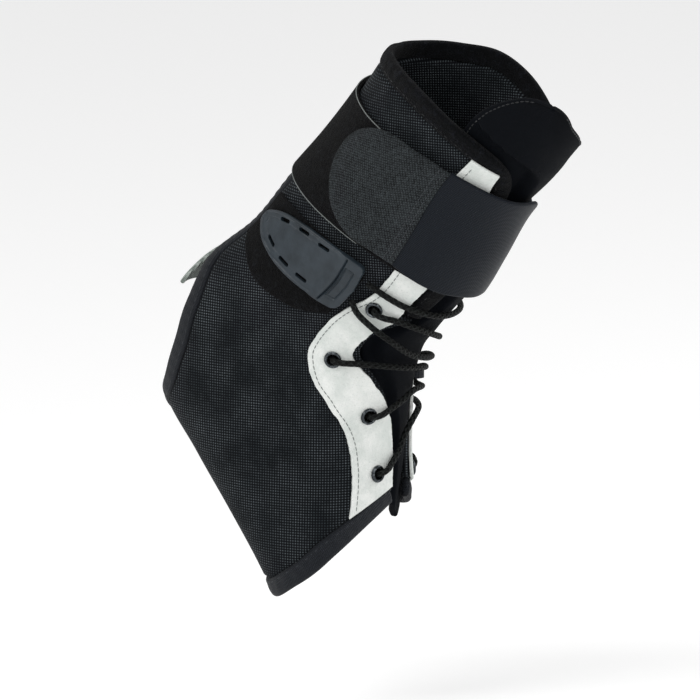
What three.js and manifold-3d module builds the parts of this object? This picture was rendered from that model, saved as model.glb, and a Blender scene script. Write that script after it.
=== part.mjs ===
// Lace-up ankle brace for a right foot: two cloth side panels, a tongue, eyestays with a lace,
// and a strap over the shin. Millimetres, +Z up, origin at the centre of the ankle joint.
// The brace is drawn in the foot's own frame (x forward along the sole, +y to the inner side,
// z up from the sole) and one group then points the toes down, as on a raised foot.
import * as THREE from "three";
import { mergeVertices } from "three/addons/utils/BufferGeometryUtils.js";
import Module from "manifold-3d";

// How the foot and the leg are held, in degrees
const toeDrop = 52;
const shinBend = 102;

// The limb that the brace fits, measured from the ankle's centre
const footReach = 104;
const soleDrop = 60;
const braceHeight = 156;
const shinDepth = 42;
const calfDepth = 41;
const footHalf = 33;
const legHalf = 30;
const ridgeShift = 10;

// Cloth thicknesses and the clearance between two layers
const panelWall = 3.2;
const stayWall = 1.2;
const tapeWall = 3.9;
const tapeRound = 0.9;
const bandWall = 2;
const bandFrontWall = 1;
const patchWall = 1.5;
const strapWall = 1.7;
const strapEndWall = 2.1;
const tongueWall = 3.4;
const insertWall = 2;
const layerGap = 0.5;
const trimGap = 0.3;
const stayGap = 0.7;
const seamGap = 0.6;
const innerSeamGap = 0.9;
const heelSeamGap = 1.4;
const innerHeelSeamGap = 2.2;

// Widths and heights of the trim
const tapeWidth = 8;
const strapWidth = 50;
const strapHeight = 111;
const bandWidth = 52;
const bandHeight = 100;
const patchFoot = 30;
const insertTop = 67;
const insertFlare = 2.5;
const tongueCrown = 3.2;
const tongueDrop = 0.8;
const tongueRiseStart = 2.5;
const tongueRiseEnd = 10.5;

// Lace, eyelets and the pull tab
const laceWidth = 2.8;
const eyeletBore = 4.6;
const eyeletBarrel = 5.6;
const eyeletFlange = 7.6;
const flangeWall = 0.6;
const tabLength = 57.5;
const tabWidth = 27;
const tabWall = 2.2;
const tabPocket = 0.9;
const tabRim = 0.5;
const slotLength = 6.6;
const slotWidth = 1.8;
const loopWall = 1;
const loopWidth = 3;
const loopRoom = 2.6;

// How finely the cloth is faceted
const panelRows = 27;
const panelColumns = 11;
const roundSides = 8;
const laceSides = 6;

const wasm = await Module();
wasm.setup();

const radians = THREE.MathUtils.degToRad;
const legUp = new THREE.Vector3(Math.cos(radians(shinBend)), 0, Math.sin(radians(shinBend)));
const legFront = new THREE.Vector3(Math.sin(radians(shinBend)), 0, -Math.cos(radians(shinBend)));

// Shares of the foot's reach and drop, or of the brace's height and the leg's depth
function onFoot(reachShare, dropShare) {
  return new THREE.Vector3(footReach * reachShare, 0, soleDrop * dropShare);
}

function onLeg(heightShare, depthShare) {
  const depth = depthShare > 0 ? shinDepth : calfDepth;
  return legUp.clone().multiplyScalar(braceHeight * heightShare).addScaledVector(legFront, depth * depthShare);
}

// Sections of the limb from the toes up: the middle of the front, the middle of the back, half
// the width on the outer side, the inner side's share of that, how square the section is, and
// how far its ridge leans to the inner side
const sections = [
  { front: onFoot(0.897, -0.334), back: onFoot(1.045, -1.06), half: footHalf, inner: 0.84, square: 0.07, ridge: 1 },
  { front: onFoot(0.69, -0.03), back: onFoot(0.7, -1.015), half: footHalf, inner: 0.8, square: 0.07, ridge: 1 },
  { front: onFoot(0.58, 0.13), back: onFoot(0.43, -1), half: footHalf, inner: 0.81, square: 0.07, ridge: 0.9 },
  { front: onFoot(0.49, 0.31), back: onFoot(0.115, -1), half: footHalf * 0.97, inner: 0.87, square: 0.07, ridge: 0.7 },
  { front: onFoot(0.42, 0.49), back: onFoot(-0.19, -0.98), half: footHalf * 0.94, inner: 0.95, square: 0.06, ridge: 0.5 },
  { front: onLeg(0.256, 1), back: onFoot(-0.41, -0.68), half: legHalf, inner: 0.98, square: 0.04, ridge: 0.3 },
  { front: onLeg(0.346, 1), back: onFoot(-0.49, -0.21), half: legHalf * 0.97, inner: 1, square: 0.03, ridge: 0.1 },
  { front: onLeg(0.436, 1.02), back: onLeg(0.205, -1.07), half: legHalf * 0.97, inner: 1, square: 0.02, ridge: 0 },
  { front: onLeg(0.538, 1.07), back: onLeg(0.397, -1.05), half: legHalf, inner: 0.96, square: 0, ridge: 0 },
  { front: onLeg(0.667, 1.05), back: onLeg(0.59, -1), half: legHalf * 1.03, inner: 0.88, square: 0, ridge: -0.25 },
  { front: onLeg(0.833, 1), back: onLeg(0.795, -1), half: legHalf * 1.07, inner: 0.82, square: 0, ridge: -0.45 },
  { front: onLeg(1.026, 1.07), back: onLeg(1.026, -1.07), half: legHalf * 1.1, inner: 0.79, square: 0, ridge: -0.5 },
  { front: onLeg(1.25, 1.14), back: onLeg(1.25, -1.13), half: legHalf * 1.17, inner: 0.76, square: 0, ridge: -0.5 },
];

// A smooth line through the numbers of one column of a table
function smoothLine(points) {
  return new THREE.CatmullRomCurve3(points, false, "catmullrom", 0.5);
}

const frontLine = smoothLine(sections.map((row) => row.front));
const backLine = smoothLine(sections.map((row) => row.back));
const widthLine = smoothLine(sections.map((row) => new THREE.Vector3(row.half, row.half * row.inner, 0)));
const shapeLine = smoothLine(sections.map((row) => new THREE.Vector3(row.square, row.ridge * ridgeShift, 0)));

// Even shares from 0 to 1
const shares = (count) => Array.from({ length: count + 1 }, (_, index) => index / count);

// A point of the limb: along runs from the toes (0) to above the collar (1), turn goes round
// from the middle of the front (0) past the outer side to the middle of the back (PI)
function limbPoint(along, turn) {
  const share = THREE.MathUtils.clamp(along, 0, 1);
  const front = frontLine.getPoint(share);
  const back = backLine.getPoint(share);
  const width = widthLine.getPoint(share);
  const shape = shapeLine.getPoint(share);
  const swell = 1 + shape.x * Math.sin(2 * turn) ** 2;
  const half = Math.sin(turn) > 0 ? width.x : width.y;
  const point = front.clone().add(back).multiplyScalar(0.5);
  point.addScaledVector(front.sub(back), 0.5 * Math.cos(turn) * swell);
  point.y = -half * Math.sin(turn) * swell + (shape.y * (1 + Math.cos(turn))) / 2;
  return point;
}

const nudge = 0.001;

function limbSlopes(along, turn) {
  const ahead = limbPoint(along + nudge, turn).sub(limbPoint(along - nudge, turn));
  const round = limbPoint(along, turn + nudge).sub(limbPoint(along, turn - nudge));
  const span = Math.min(1, along + nudge) - Math.max(0, along - nudge);
  return { ahead: ahead.divideScalar(span), round: round.divideScalar(2 * nudge) };
}

function limbNormal(along, turn) {
  const { ahead, round } = limbSlopes(along, turn);
  return ahead.cross(round).normalize();
}

// A spot is a place on the limb, and lift is the distance out from it
const spot = (along, turn) => ({ along, turn });

function lifted(place, lift) {
  return limbPoint(place.along, place.turn).addScaledVector(limbNormal(place.along, place.turn), lift);
}

// Walks over the limb from a spot, in a direction, for a distance
function walk(place, direction, distance) {
  const steps = 4;
  let { along, turn } = place;
  for (let step = 0; step < steps; step += 1) {
    const { ahead, round } = limbSlopes(along, turn);
    const normal = ahead.clone().cross(round).normalize();
    const flat = direction.clone().projectOnPlane(normal).normalize().multiplyScalar(distance / steps);
    const aa = ahead.dot(ahead);
    const ar = ahead.dot(round);
    const rr = round.dot(round);
    const fa = flat.dot(ahead);
    const fr = flat.dot(round);
    const scale = aa * rr - ar * ar;
    along += (fa * rr - fr * ar) / scale;
    turn += (fr * aa - fa * ar) / scale;
  }
  return spot(along, turn);
}

// The spot at a height up the leg, at a given turn
function atHeight(turn, height) {
  let low = 0.42;
  let high = 1;
  for (let step = 0; step < 24; step += 1) {
    const middle = (low + high) / 2;
    if (limbPoint(middle, turn).dot(legUp) < height) low = middle;
    else high = middle;
  }
  return spot((low + high) / 2, turn);
}

// Looks up one column of a table by another, smoothly
function lookUp(table, key, column, value) {
  const last = table.length - 1;
  if (value <= table[0][key]) return table[0][column];
  if (value >= table[last][key]) return table[last][column];
  const row = table.findIndex((entry) => entry[key] >= value);
  const share = (value - table[row - 1][key]) / (table[row][key] - table[row - 1][key]);
  const before = table[Math.max(0, row - 2)];
  const after = table[Math.min(last, row + 1)];
  const slopeIn = (table[row][column] - before[column]) / (table[row][key] - before[key]);
  const slopeOut = (after[column] - table[row - 1][column]) / (after[key] - table[row - 1][key]);
  const width = table[row][key] - table[row - 1][key];
  return hermite(table[row - 1][column], table[row][column], slopeIn * width, slopeOut * width, share);
}

function hermite(from, to, slopeFrom, slopeTo, share) {
  const square = share * share;
  const cube = square * share;
  const start = (2 * cube - 3 * square + 1) * from + (cube - 2 * square + share) * slopeFrom;
  return start + (3 * square - 2 * cube) * to + (cube - square) * slopeTo;
}

// The throat is the opening down the front, edged by the panels and inside them the eyestays.
// Turns are for the outer side; the inner side is their mirror image about the middle.
const throat = [
  { along: 0.03, edge: -0.03, stayIn: 0.08, stayOut: 0.8, middle: -0.18 },
  { along: 0.09, edge: 0.03, stayIn: 0.1, stayOut: 0.71, middle: -0.21 },
  { along: 0.15, edge: 0.01, stayIn: 0.07, stayOut: 0.67, middle: -0.23 },
  { along: 0.23, edge: 0.07, stayIn: 0.13, stayOut: 0.7, middle: -0.23 },
  { along: 0.33, edge: 0.24, stayIn: 0.3, stayOut: 0.86, middle: -0.18 },
  { along: 0.37, edge: 0.44, stayIn: 0.5, stayOut: 1.0, middle: -0.11 },
  { along: 0.41, edge: 0.66, stayIn: 0.72, stayOut: 1.08, middle: -0.08 },
  { along: 0.44, edge: 0.69, stayIn: 0.75, stayOut: 1.09, middle: -0.07 },
  { along: 0.5, edge: 0.63, stayIn: 0.7, stayOut: 1.09, middle: -0.06 },
  { along: 0.55, edge: 0.38, stayIn: 0.6, stayOut: 1.06, middle: -0.06 },
  { along: 0.6, edge: 0.31, stayIn: 0.6, stayOut: 0.97, middle: -0.08 },
  { along: 0.67, edge: 0.29, stayIn: 0.58, stayOut: 0.97, middle: -0.12 },
  { along: 0.84, edge: 0.26, stayIn: 0.55, stayOut: 0.97, middle: -0.19 },
  { along: 0.88, edge: 0.26, stayIn: 0.6, stayOut: 0.95, middle: -0.2 },
];

const stayTop = 0.872;
const stayToe = 0.22;
const stayStepStart = 1.16;
const stayStepEnd = 1.36;

// Mirrors a spot of the outer side to the inner side, and leaves one of the outer side alone
function onSide(side, along, turn) {
  return side > 0 ? turn : 2 * lookUp(throat, "along", "middle", along) - turn;
}

function throatTurn(side, column, along) {
  return onSide(side, along, lookUp(throat, "along", column, along));
}

// The edge over the toes, by turn round the foot; the inner side's is set back
const toeEdge = [
  { turn: 0, outer: 0.058, inner: 0.066 },
  { turn: 0.45, outer: 0.039, inner: 0.062 },
  { turn: 0.8, outer: 0.027, inner: 0.06 },
  { turn: 1.25, outer: 0.022, inner: 0.078 },
  { turn: 1.9, outer: 0.032, inner: 0.092 },
  { turn: 2.3, outer: 0.041, inner: 0.09 },
  { turn: 2.7, outer: 0.055, inner: 0.074 },
  { turn: 2.95, outer: 0.062, inner: 0.064 },
  { turn: 3.14, outer: 0.063, inner: 0.063 },
];

function toeLine(side) {
  const column = side > 0 ? "outer" : "inner";
  const throatEnd = throatTurn(side, "edge", toeEdge[0][column]);
  return spotLine(
    shares(16).map((share) => {
      const turn = THREE.MathUtils.lerp(throatEnd, side * Math.PI, share);
      return spot(lookUp(toeEdge, "turn", column, Math.abs(turn)), turn);
    }),
  );
}

// The collar's edge from its front corner to the back, with heights as shares of braceHeight
const collarOuter = [
  { turn: 0.3, height: 0.4 },
  { turn: 0.26, height: 0.55 },
  { turn: 0.24, height: 0.72 },
  { turn: 0.24, height: 0.84 },
  { turn: 0.3, height: 0.9 },
  { turn: 0.42, height: 0.95 },
  { turn: 0.64, height: 0.985 },
  { turn: 0.95, height: 1 },
  { turn: 1.3, height: 1 },
  { turn: 1.75, height: 0.99 },
  { turn: 2.3, height: 0.955 },
  { turn: 2.8, height: 0.92 },
];
const collarBack = 0.905;
const innerCollarRise = 0.045;

// The free edge at the back: beside the elastic insert, then round the opening for the heel
const heelEdge = [
  { along: 0.322, turn: 2.9 },
  { along: 0.337, turn: 2.62 },
  { along: 0.363, turn: 2.41 },
  { along: 0.407, turn: 2.32 },
  { along: 0.453, turn: 2.38 },
  { along: 0.487, turn: 2.5 },
  { along: 0.512, turn: 2.66 },
  { along: 0.535, turn: 2.82 },
  { along: 0.57, turn: 2.92 },
];
const insertHalf = 0.2;
const insertLow = 0.462;
const insertSpread = 0.16;
const spreadEnd = 0.45;
const flareEnd = 0.55;
const insertHeadroom = 5;
const collarCorner = 0.42;
const soleEnd = 0.318;

// A line on the limb through spots, which gives a spot for a share of its real length
function spotLine(spots) {
  const curve = new THREE.CatmullRomCurve3(
    spots.map((place) => new THREE.Vector3(place.along, place.turn, 0)),
    false,
    "centripetal",
  );
  const samples = 240;
  const fine = curve.getPoints(samples).map((point) => spot(point.x, point.y));
  const reach = [0];
  for (let index = 1; index <= samples; index += 1) {
    const from = lifted(fine[index - 1], 0);
    reach.push(reach[index - 1] + from.distanceTo(lifted(fine[index], 0)));
  }
  return (share) => {
    const target = THREE.MathUtils.clamp(share, 0, 1) * reach[samples];
    let index = reach.findIndex((length) => length >= target);
    index = Math.max(1, index);
    const part = (target - reach[index - 1]) / (reach[index] - reach[index - 1]);
    const from = fine[index - 1];
    const to = fine[index];
    return spot(from.along + (to.along - from.along) * part, from.turn + (to.turn - from.turn) * part);
  };
}

// The spot beside a line, at a distance to its left (positive) or right
function beside(line, share, distance) {
  const step = 0.004;
  const from = lifted(line(Math.max(0, share - step)), 0);
  const to = lifted(line(Math.min(1, share + step)), 0);
  const place = line(share);
  const side = limbNormal(place.along, place.turn).cross(to.sub(from));
  return distance === 0 ? place : walk(place, side, distance);
}

// Closes a grid of spots between an inner and an outer lift into one solid
function clothSolid(rows, innerLift, outerLift, closed = false) {
  const positions = [];
  const faces = [];
  const rowCount = rows.length;
  const columnCount = rows[0].length;
  const layer = rowCount * columnCount;
  for (const lift of [outerLift, innerLift]) {
    rows.forEach((row, i) => {
      row.forEach((place, j) => {
        const height = typeof lift === "function" ? lift(place, i, j) : lift;
        positions.push(...lifted(place, height).toArray());
      });
    });
  }
  const at = (i, j, side) => side * layer + (i % rowCount) * columnCount + j;
  const quad = (a, b, c, d) => faces.push(a, b, c, a, c, d);
  const lastRow = closed ? rowCount : rowCount - 1;
  for (let i = 0; i < lastRow; i += 1) {
    for (let j = 0; j < columnCount - 1; j += 1) {
      quad(at(i, j, 0), at(i + 1, j, 0), at(i + 1, j + 1, 0), at(i, j + 1, 0));
      quad(at(i, j, 1), at(i, j + 1, 1), at(i + 1, j + 1, 1), at(i + 1, j, 1));
    }
    const end = columnCount - 1;
    quad(at(i, 0, 0), at(i, 0, 1), at(i + 1, 0, 1), at(i + 1, 0, 0));
    quad(at(i, end, 0), at(i + 1, end, 0), at(i + 1, end, 1), at(i, end, 1));
  }
  if (!closed) {
    for (let j = 0; j < columnCount - 1; j += 1) {
      const end = rowCount - 1;
      quad(at(0, j, 0), at(0, j + 1, 0), at(0, j + 1, 1), at(0, j, 1));
      quad(at(end, j, 0), at(end, j, 1), at(end, j + 1, 1), at(end, j + 1, 0));
    }
  }
  return facedOut(solidFrom(positions, faces));
}

function solidFrom(positions, faces) {
  const geometry = new THREE.BufferGeometry();
  geometry.setAttribute("position", new THREE.Float32BufferAttribute(positions, 3));
  geometry.setIndex(faces);
  return geometry;
}

// Turns the faces round if the solid is inside out
function facedOut(geometry) {
  const point = geometry.getAttribute("position");
  const index = geometry.getIndex();
  const [a, b, c] = [new THREE.Vector3(), new THREE.Vector3(), new THREE.Vector3()];
  let volume = 0;
  for (let face = 0; face < index.count; face += 3) {
    a.fromBufferAttribute(point, index.getX(face));
    b.fromBufferAttribute(point, index.getX(face + 1));
    c.fromBufferAttribute(point, index.getX(face + 2));
    volume += a.dot(b.cross(c));
  }
  if (volume < 0) {
    for (let face = 0; face < index.count; face += 3) {
      const first = index.getX(face);
      index.setX(face, index.getX(face + 2));
      index.setX(face + 2, first);
    }
  }
  return geometry;
}

function toManifold(geometry) {
  const bare = geometry.clone();
  bare.deleteAttribute("normal");
  bare.deleteAttribute("uv");
  const merged = mergeVertices(bare, 1e-5);
  const mesh = new wasm.Mesh({
    numProp: 3,
    vertProperties: new Float32Array(merged.getAttribute("position").array),
    triVerts: new Uint32Array(merged.getIndex().array),
  });
  return new wasm.Manifold(mesh);
}

function cutAway(geometry, cutters) {
  let solid = toManifold(geometry);
  cutters.forEach((cutter) => {
    solid = solid.subtract(toManifold(cutter));
  });
  const mesh = solid.getMesh();
  return solidFrom(Array.from(mesh.vertProperties), Array.from(mesh.triVerts));
}

// Stands a shape on the limb: its z out from the surface, its x in the given direction
function standOn(geometry, place, lift, direction) {
  const out = limbNormal(place.along, place.turn);
  const ahead = direction.clone().projectOnPlane(out).normalize();
  const side = out.clone().cross(ahead);
  const matrix = new THREE.Matrix4().makeBasis(ahead, side, out);
  matrix.setPosition(lifted(place, lift));
  return geometry.applyMatrix4(matrix);
}

function aheadAt(place) {
  return limbSlopes(place.along, place.turn).ahead.normalize();
}

// Eyelets, counted down from the leg to the toes, as placed on the outer side
const eyelets = [
  { along: 0.57, turn: 0.86 },
  { along: 0.407, turn: 0.88 },
  { along: 0.293, turn: 0.49 },
  { along: 0.12, turn: 0.37 },
];
const stayTopLift = panelWall + stayGap + stayWall;
const flangeGap = 0.45;
const eyeletFoot = -0.3;
const barrelClearance = 0.4;

function eyeletSpot(side, number) {
  const row = eyelets[number];
  return spot(row.along, onSide(side, row.along, row.turn));
}

function eyeletHole(side, number) {
  const depth = 30;
  const hole = new THREE.CylinderGeometry(
    eyeletBarrel / 2 + barrelClearance,
    eyeletBarrel / 2 + barrelClearance,
    depth,
    roundSides,
  );
  hole.rotateX(Math.PI / 2);
  const place = eyeletSpot(side, number);
  return standOn(hole, place, 0, aheadAt(place));
}

function eyeletShape(side, number) {
  const under = stayTopLift + flangeGap;
  const top = under + flangeWall;
  const profile = [
    [eyeletBore / 2, eyeletFoot],
    [eyeletBarrel / 2, eyeletFoot],
    [eyeletBarrel / 2, under],
    [eyeletFlange / 2, under],
    [eyeletFlange / 2, top],
    [eyeletBore / 2, top],
    [eyeletBore / 2, eyeletFoot],
  ].map(([radius, height]) => new THREE.Vector2(radius, height));
  const ring = new THREE.LatheGeometry(profile, roundSides);
  ring.rotateX(Math.PI / 2);
  const place = eyeletSpot(side, number);
  return standOn(ring, place, 0, aheadAt(place));
}

// The lines that the panels and their tapes share, for one side (1 outer, -1 inner)
function collarHeight(side, turn, share) {
  const rise = side > 0 ? 0 : innerCollarRise * THREE.MathUtils.smoothstep(share, 0.84, 0.98);
  const fade = 1 - THREE.MathUtils.smoothstep(Math.abs(turn), 1.6, 2.9);
  return braceHeight * (share + rise * fade);
}

function collarLine(side) {
  const spots = collarOuter.map((row) => {
    const along = atHeight(row.turn, braceHeight * row.height).along;
    const shift = onSide(side, along, row.turn) - side * row.turn;
    const turn = side * row.turn + shift * (1 - THREE.MathUtils.smoothstep(row.turn, 0.9, 2.6));
    return atHeight(turn, collarHeight(side, turn, row.height));
  });
  spots.push(atHeight(side * Math.PI, braceHeight * collarBack));
  return spotLine(spots);
}

function heelLine(side) {
  const spots = [spot(soleEnd, side * Math.PI)];
  heelEdge.forEach((row) => spots.push(spot(row.along, side * row.turn)));
  spots.push(atHeight(side * (Math.PI - insertHalf), insertTop * 0.8));
  spots.push(atHeight(side * (Math.PI - insertHalf), insertTop));
  return spotLine(spots);
}

const cornerStep = 0.008;
const soleShare = 2/9;

// The panel of one side, filled in between its front, back, toe and collar lines
function panelSpots(side) {
  const collar = collarLine(side);
  const toe = toeLine(side);
  const heel = heelLine(side);
  const seam = side * (Math.PI - seamGap / 2 / footHalf);
  const inset = tapeWidth + (side > 0 ? seamGap : innerSeamGap);
  const heelInset = tapeWidth + (side > 0 ? heelSeamGap : innerHeelSeamGap);
  const collarInset = (share) => beside(collar, share, side * inset);
  const toeInset = (share) => beside(toe, share, -side * inset);
  const low = toeInset(0);
  const high = collarInset(0);
  const frontSpots = [low];
  shares(14)
    .slice(1, 13)
    .forEach((share) => {
      const along = THREE.MathUtils.lerp(low.along, high.along, share);
      frontSpots.push(spot(along, throatTurn(side, "edge", along)));
    });
  shares(12).forEach((share) => frontSpots.push(collarInset(share * collarCorner)));
  const top = shares(16).map((share) => collarInset(THREE.MathUtils.lerp(collarCorner, 1, share)));
  top[top.length - 1].turn = seam;
  const bottom = shares(16).map((share) => toeInset(share));
  bottom[bottom.length - 1].turn = seam;
  const heelSpots = shares(30)
    .map((share) => beside(heel, share, -side * heelInset))
    .filter((place) => Math.abs(place.turn) < Math.abs(seam));
  const heelFoot = heelSpots[0].along - cornerStep;
  const soleSpots = shares(4).map((share) =>
    spot(THREE.MathUtils.lerp(bottom[16].along, heelFoot, share), seam),
  );
  heelSpots.push(atHeight(heelSpots[heelSpots.length - 1].turn, insertTop + insertHeadroom * 0.7));
  const calfLow = atHeight(seam, insertTop + insertHeadroom).along;
  const calfSpots = shares(6).map((share) =>
    spot(THREE.MathUtils.lerp(calfLow, top[16].along, share), seam),
  );
  const sole = spotLine(soleSpots);
  const upper = spotLine([soleSpots[4], ...heelSpots, ...calfSpots]);
  const back = (share) =>
    share < soleShare ? sole(share / soleShare) : upper((share - soleShare) / (1 - soleShare));
  return coonsPatch(spotLine(frontSpots), back, spotLine(bottom), spotLine(top));
}

// Blends four border lines into a grid of spots
function coonsPatch(front, back, bottom, top) {
  const mix = (from, to, share) =>
    spot(
      THREE.MathUtils.lerp(from.along, to.along, share),
      THREE.MathUtils.lerp(from.turn, to.turn, share),
    );
  return shares(panelRows).map((a) =>
    shares(panelColumns).map((b) => {
      const across = mix(front(a), back(a), b);
      const up = mix(bottom(b), top(b), a);
      const corners = mix(mix(front(0), back(0), b), mix(front(1), back(1), b), a);
      return spot(across.along + up.along - corners.along, across.turn + up.turn - corners.turn);
    }),
  );
}

function panel(side) {
  const cloth = clothSolid(panelSpots(side), 0, panelWall);
  return cutAway(cloth, eyelets.map((_, number) => eyeletHole(side, number)));
}

// Suede strip along the throat that carries the eyelets
function eyestay(side) {
  const toe = toeLine(side);
  const toeInset = (share) => beside(toe, share, -side * (tapeWidth + 2 * seamGap));
  const rows = shares(24).map((a) =>
    shares(3).map((b) => {
      const low = toeInset(stayToe * b).along;
      const along = THREE.MathUtils.lerp(low, stayTop, a);
      const from = throatTurn(side, "stayIn", along);
      const to = throatTurn(side, "stayOut", along);
      return spot(along, THREE.MathUtils.lerp(from, to, b));
    }),
  );
  const cloth = clothSolid(rows, panelWall + stayGap, stayTopLift);
  return cutAway(cloth, eyelets.map((_, number) => eyeletHole(side, number)));
}

// A spot of the inner side as reached round the back, and a line that goes on round it
const pastBack = (place) => spot(place.along, place.turn + 2 * Math.PI);

function joinLines(outer, inner) {
  return (share) => (share < 0.5 ? outer(share * 2) : pastBack(inner(2 - share * 2)));
}

// A tape of even width beside a line, rounded over its outer face
function tape(line, steps, sideSign) {
  const rows = shares(steps).map((share) =>
    [0, 0.3, 1].map((b) => beside(line, share, sideSign * tapeWidth * b)),
  );
  const rounded = (place, i, j) => (j === 0 ? tapeWall - tapeRound : tapeWall);
  return clothSolid(rows, 0, rounded);
}

// The tape round the collar and down both edges of the throat
function collarBinding() {
  return tape(joinLines(collarLine(1), collarLine(-1)), 52, 1);
}

// The tape over the toes, from one edge of the throat round under the sole to the other
function toeBinding() {
  return tape(joinLines(toeLine(1), toeLine(-1)), 36, -1);
}

// The tape beside the insert, round the heel's opening and under the heel
function heelBinding() {
  const outer = heelLine(1);
  const inner = heelLine(-1);
  const whole = (share) => (share < 0.5 ? outer(1 - share * 2) : pastBack(inner(share * 2 - 1)));
  return tape(whole, 56, 1);
}

// Elastic strip up the back of the leg, which widens and stands off over the heel
function backInsert() {
  const high = atHeight(Math.PI, insertTop).along;
  const steps = 12;
  const rows = shares(steps).map((a) => {
    const along = THREE.MathUtils.lerp(insertLow, high, a);
    const spread = insertSpread * (1 - THREE.MathUtils.smoothstep(a, 0, spreadEnd));
    const half = insertHalf - seamGap / calfDepth + spread;
    return shares(4).map((b) => spot(along, Math.PI + THREE.MathUtils.lerp(-half, half, b)));
  });
  const flare = (place, i) => insertFlare * (1 - THREE.MathUtils.smoothstep(i / steps, 0, flareEnd));
  return clothSolid(rows, flare, (place, i) => insertWall + flare(place, i));
}

// The plush band, from over the outer eyestay round the back, and the strap over the shin:
// their middle lines and widths by turn
const bandRows = [
  { turn: 0.46, middle: 1.039, width: 0.81 },
  { turn: 0.9, middle: 1.039, width: 0.82 },
  { turn: 1.17, middle: 1.055, width: 0.93 },
  { turn: 1.6, middle: 1.04, width: 1 },
  { turn: 2.2, middle: 0.98, width: 1 },
  { turn: 2.7, middle: 0.94, width: 1 },
  { turn: 3.14, middle: 0.94, width: 1 },
  { turn: 3.9, middle: 0.98, width: 1 },
  { turn: 4.8, middle: 1.01, width: 1 },
];
const strapRows = [
  { turn: -1.85, middle: 0.914, width: 0.98 },
  { turn: -0.7, middle: 0.923, width: 0.98 },
  { turn: -0.4, middle: 0.95, width: 0.96 },
  { turn: -0.2, middle: 0.991, width: 1.06 },
  { turn: -0.05, middle: 1.014, width: 1.14 },
  { turn: 0.25, middle: 1.016, width: 1.13 },
  { turn: 0.5, middle: 1.014, width: 1.15 },
  { turn: 0.8, middle: 1.014, width: 1.14 },
  { turn: 1.01, middle: 1.014, width: 1.1 },
];
const strapEndRows = [
  { turn: 1.03, middle: 1.012, width: 1.08 },
  { turn: 1.25, middle: 1, width: 1.08 },
  { turn: 1.45, middle: 0.98, width: 1.08 },
  { turn: 1.65, middle: 0.972, width: 1.02 },
  { turn: 1.82, middle: 0.968, width: 0.88 },
  { turn: 1.95, middle: 0.966, width: 0.68 },
  { turn: 2.04, middle: 0.965, width: 0.46 },
  { turn: 2.09, middle: 0.965, width: 0.2 },
];

function belt(table, steps, columns, middleHeight, fullWidth, lowLift, wall) {
  const first = table[0].turn;
  const last = table[table.length - 1].turn;
  const rows = shares(steps).map((a) => {
    const turn = THREE.MathUtils.lerp(first, last, a);
    const middle = middleHeight * lookUp(table, "turn", "middle", turn);
    const half = (fullWidth * lookUp(table, "turn", "width", turn)) / 2;
    return shares(columns).map((b) => atHeight(turn, THREE.MathUtils.lerp(middle - half, middle + half, b)));
  });
  return clothSolid(rows, lowLift, (place) => valueOf(lowLift, place) + valueOf(wall, place));
}

// A fixed number, or what a function gives for a spot
function valueOf(size, place) {
  return typeof size === "function" ? size(place) : size;
}

const bandLift = panelWall + layerGap;
const bandFrontLift = stayTopLift + trimGap;
const strapLift = bandFrontLift + bandFrontWall + trimGap;

// 1 where the band lies on the eyestay, 0 where it lies on the panel
function onStay(place) {
  return THREE.MathUtils.smoothstep(stayStepEnd - place.turn, 0, stayStepEnd - stayStepStart);
}

function loopBand() {
  const low = (place) => THREE.MathUtils.lerp(bandLift, bandFrontLift, onStay(place));
  const wall = (place) => THREE.MathUtils.lerp(bandWall, bandFrontWall, onStay(place));
  return belt(bandRows, 26, 4, bandHeight, bandWidth, low, wall);
}

// Plush patch below the band, which the pull tab sticks to
const patchRows = [
  { turn: 1.14, low: 1.45, high: 0.68 },
  { turn: 1.36, low: 1.15, high: 0.69 },
  { turn: 1.6, low: 1, high: 0.7 },
  { turn: 1.9, low: 0.9, high: 0.67 },
  { turn: 2.25, low: 0.98, high: 0.63 },
  { turn: 2.55, low: 1.1, high: 0.59 },
];

function tabPatch() {
  const first = patchRows[0].turn;
  const last = patchRows[patchRows.length - 1].turn;
  const rows = shares(14).map((a) => {
    const turn = THREE.MathUtils.lerp(first, last, a);
    const low = patchFoot * lookUp(patchRows, "turn", "low", turn);
    const high = bandHeight * lookUp(patchRows, "turn", "high", turn);
    return shares(4).map((b) => atHeight(turn, THREE.MathUtils.lerp(low, high, b)));
  });
  return clothSolid(rows, bandLift, bandLift + patchWall);
}

// The pull tab: shares of its length from the tip, and of its width
const tabOutline = [
  { share: 0, half: 0.12 },
  { share: 0.02, half: 0.24 },
  { share: 0.06, half: 0.38 },
  { share: 0.12, half: 0.54 },
  { share: 0.2, half: 0.69 },
  { share: 0.33, half: 0.84 },
  { share: 0.45, half: 0.94 },
  { share: 0.62, half: 1 },
  { share: 0.8, half: 1 },
  { share: 0.94, half: 0.97 },
  { share: 0.985, half: 0.9 },
  { share: 1, half: 0.74 },
];
const tabTipHeight = braceHeight * 0.313;
const tabEndHeight = braceHeight * 0.396;
const tabEndTurn = 1.13;
const tabLean = 0.06;
const tabTipTurn = sideStep(atHeight(tabEndTurn, tabEndHeight).along, tabEndTurn, tabLength).turn;
const tabLift = bandLift + patchWall + layerGap;

// The slots: their middles, and how far each turns towards the tab's middle line at its tip end
const slotRows = [
  { share: 0.236, across: 0.5, splay: 0.14 },
  { share: 0.437, across: 0.72, splay: 0.06 },
  { share: 0.64, across: 0.74, splay: 0.02 },
  { share: 0.256, across: -0.41, splay: -0.14 },
  { share: 0.455, across: -0.63, splay: -0.06 },
  { share: 0.645, across: -0.68, splay: -0.02 },
];

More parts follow.
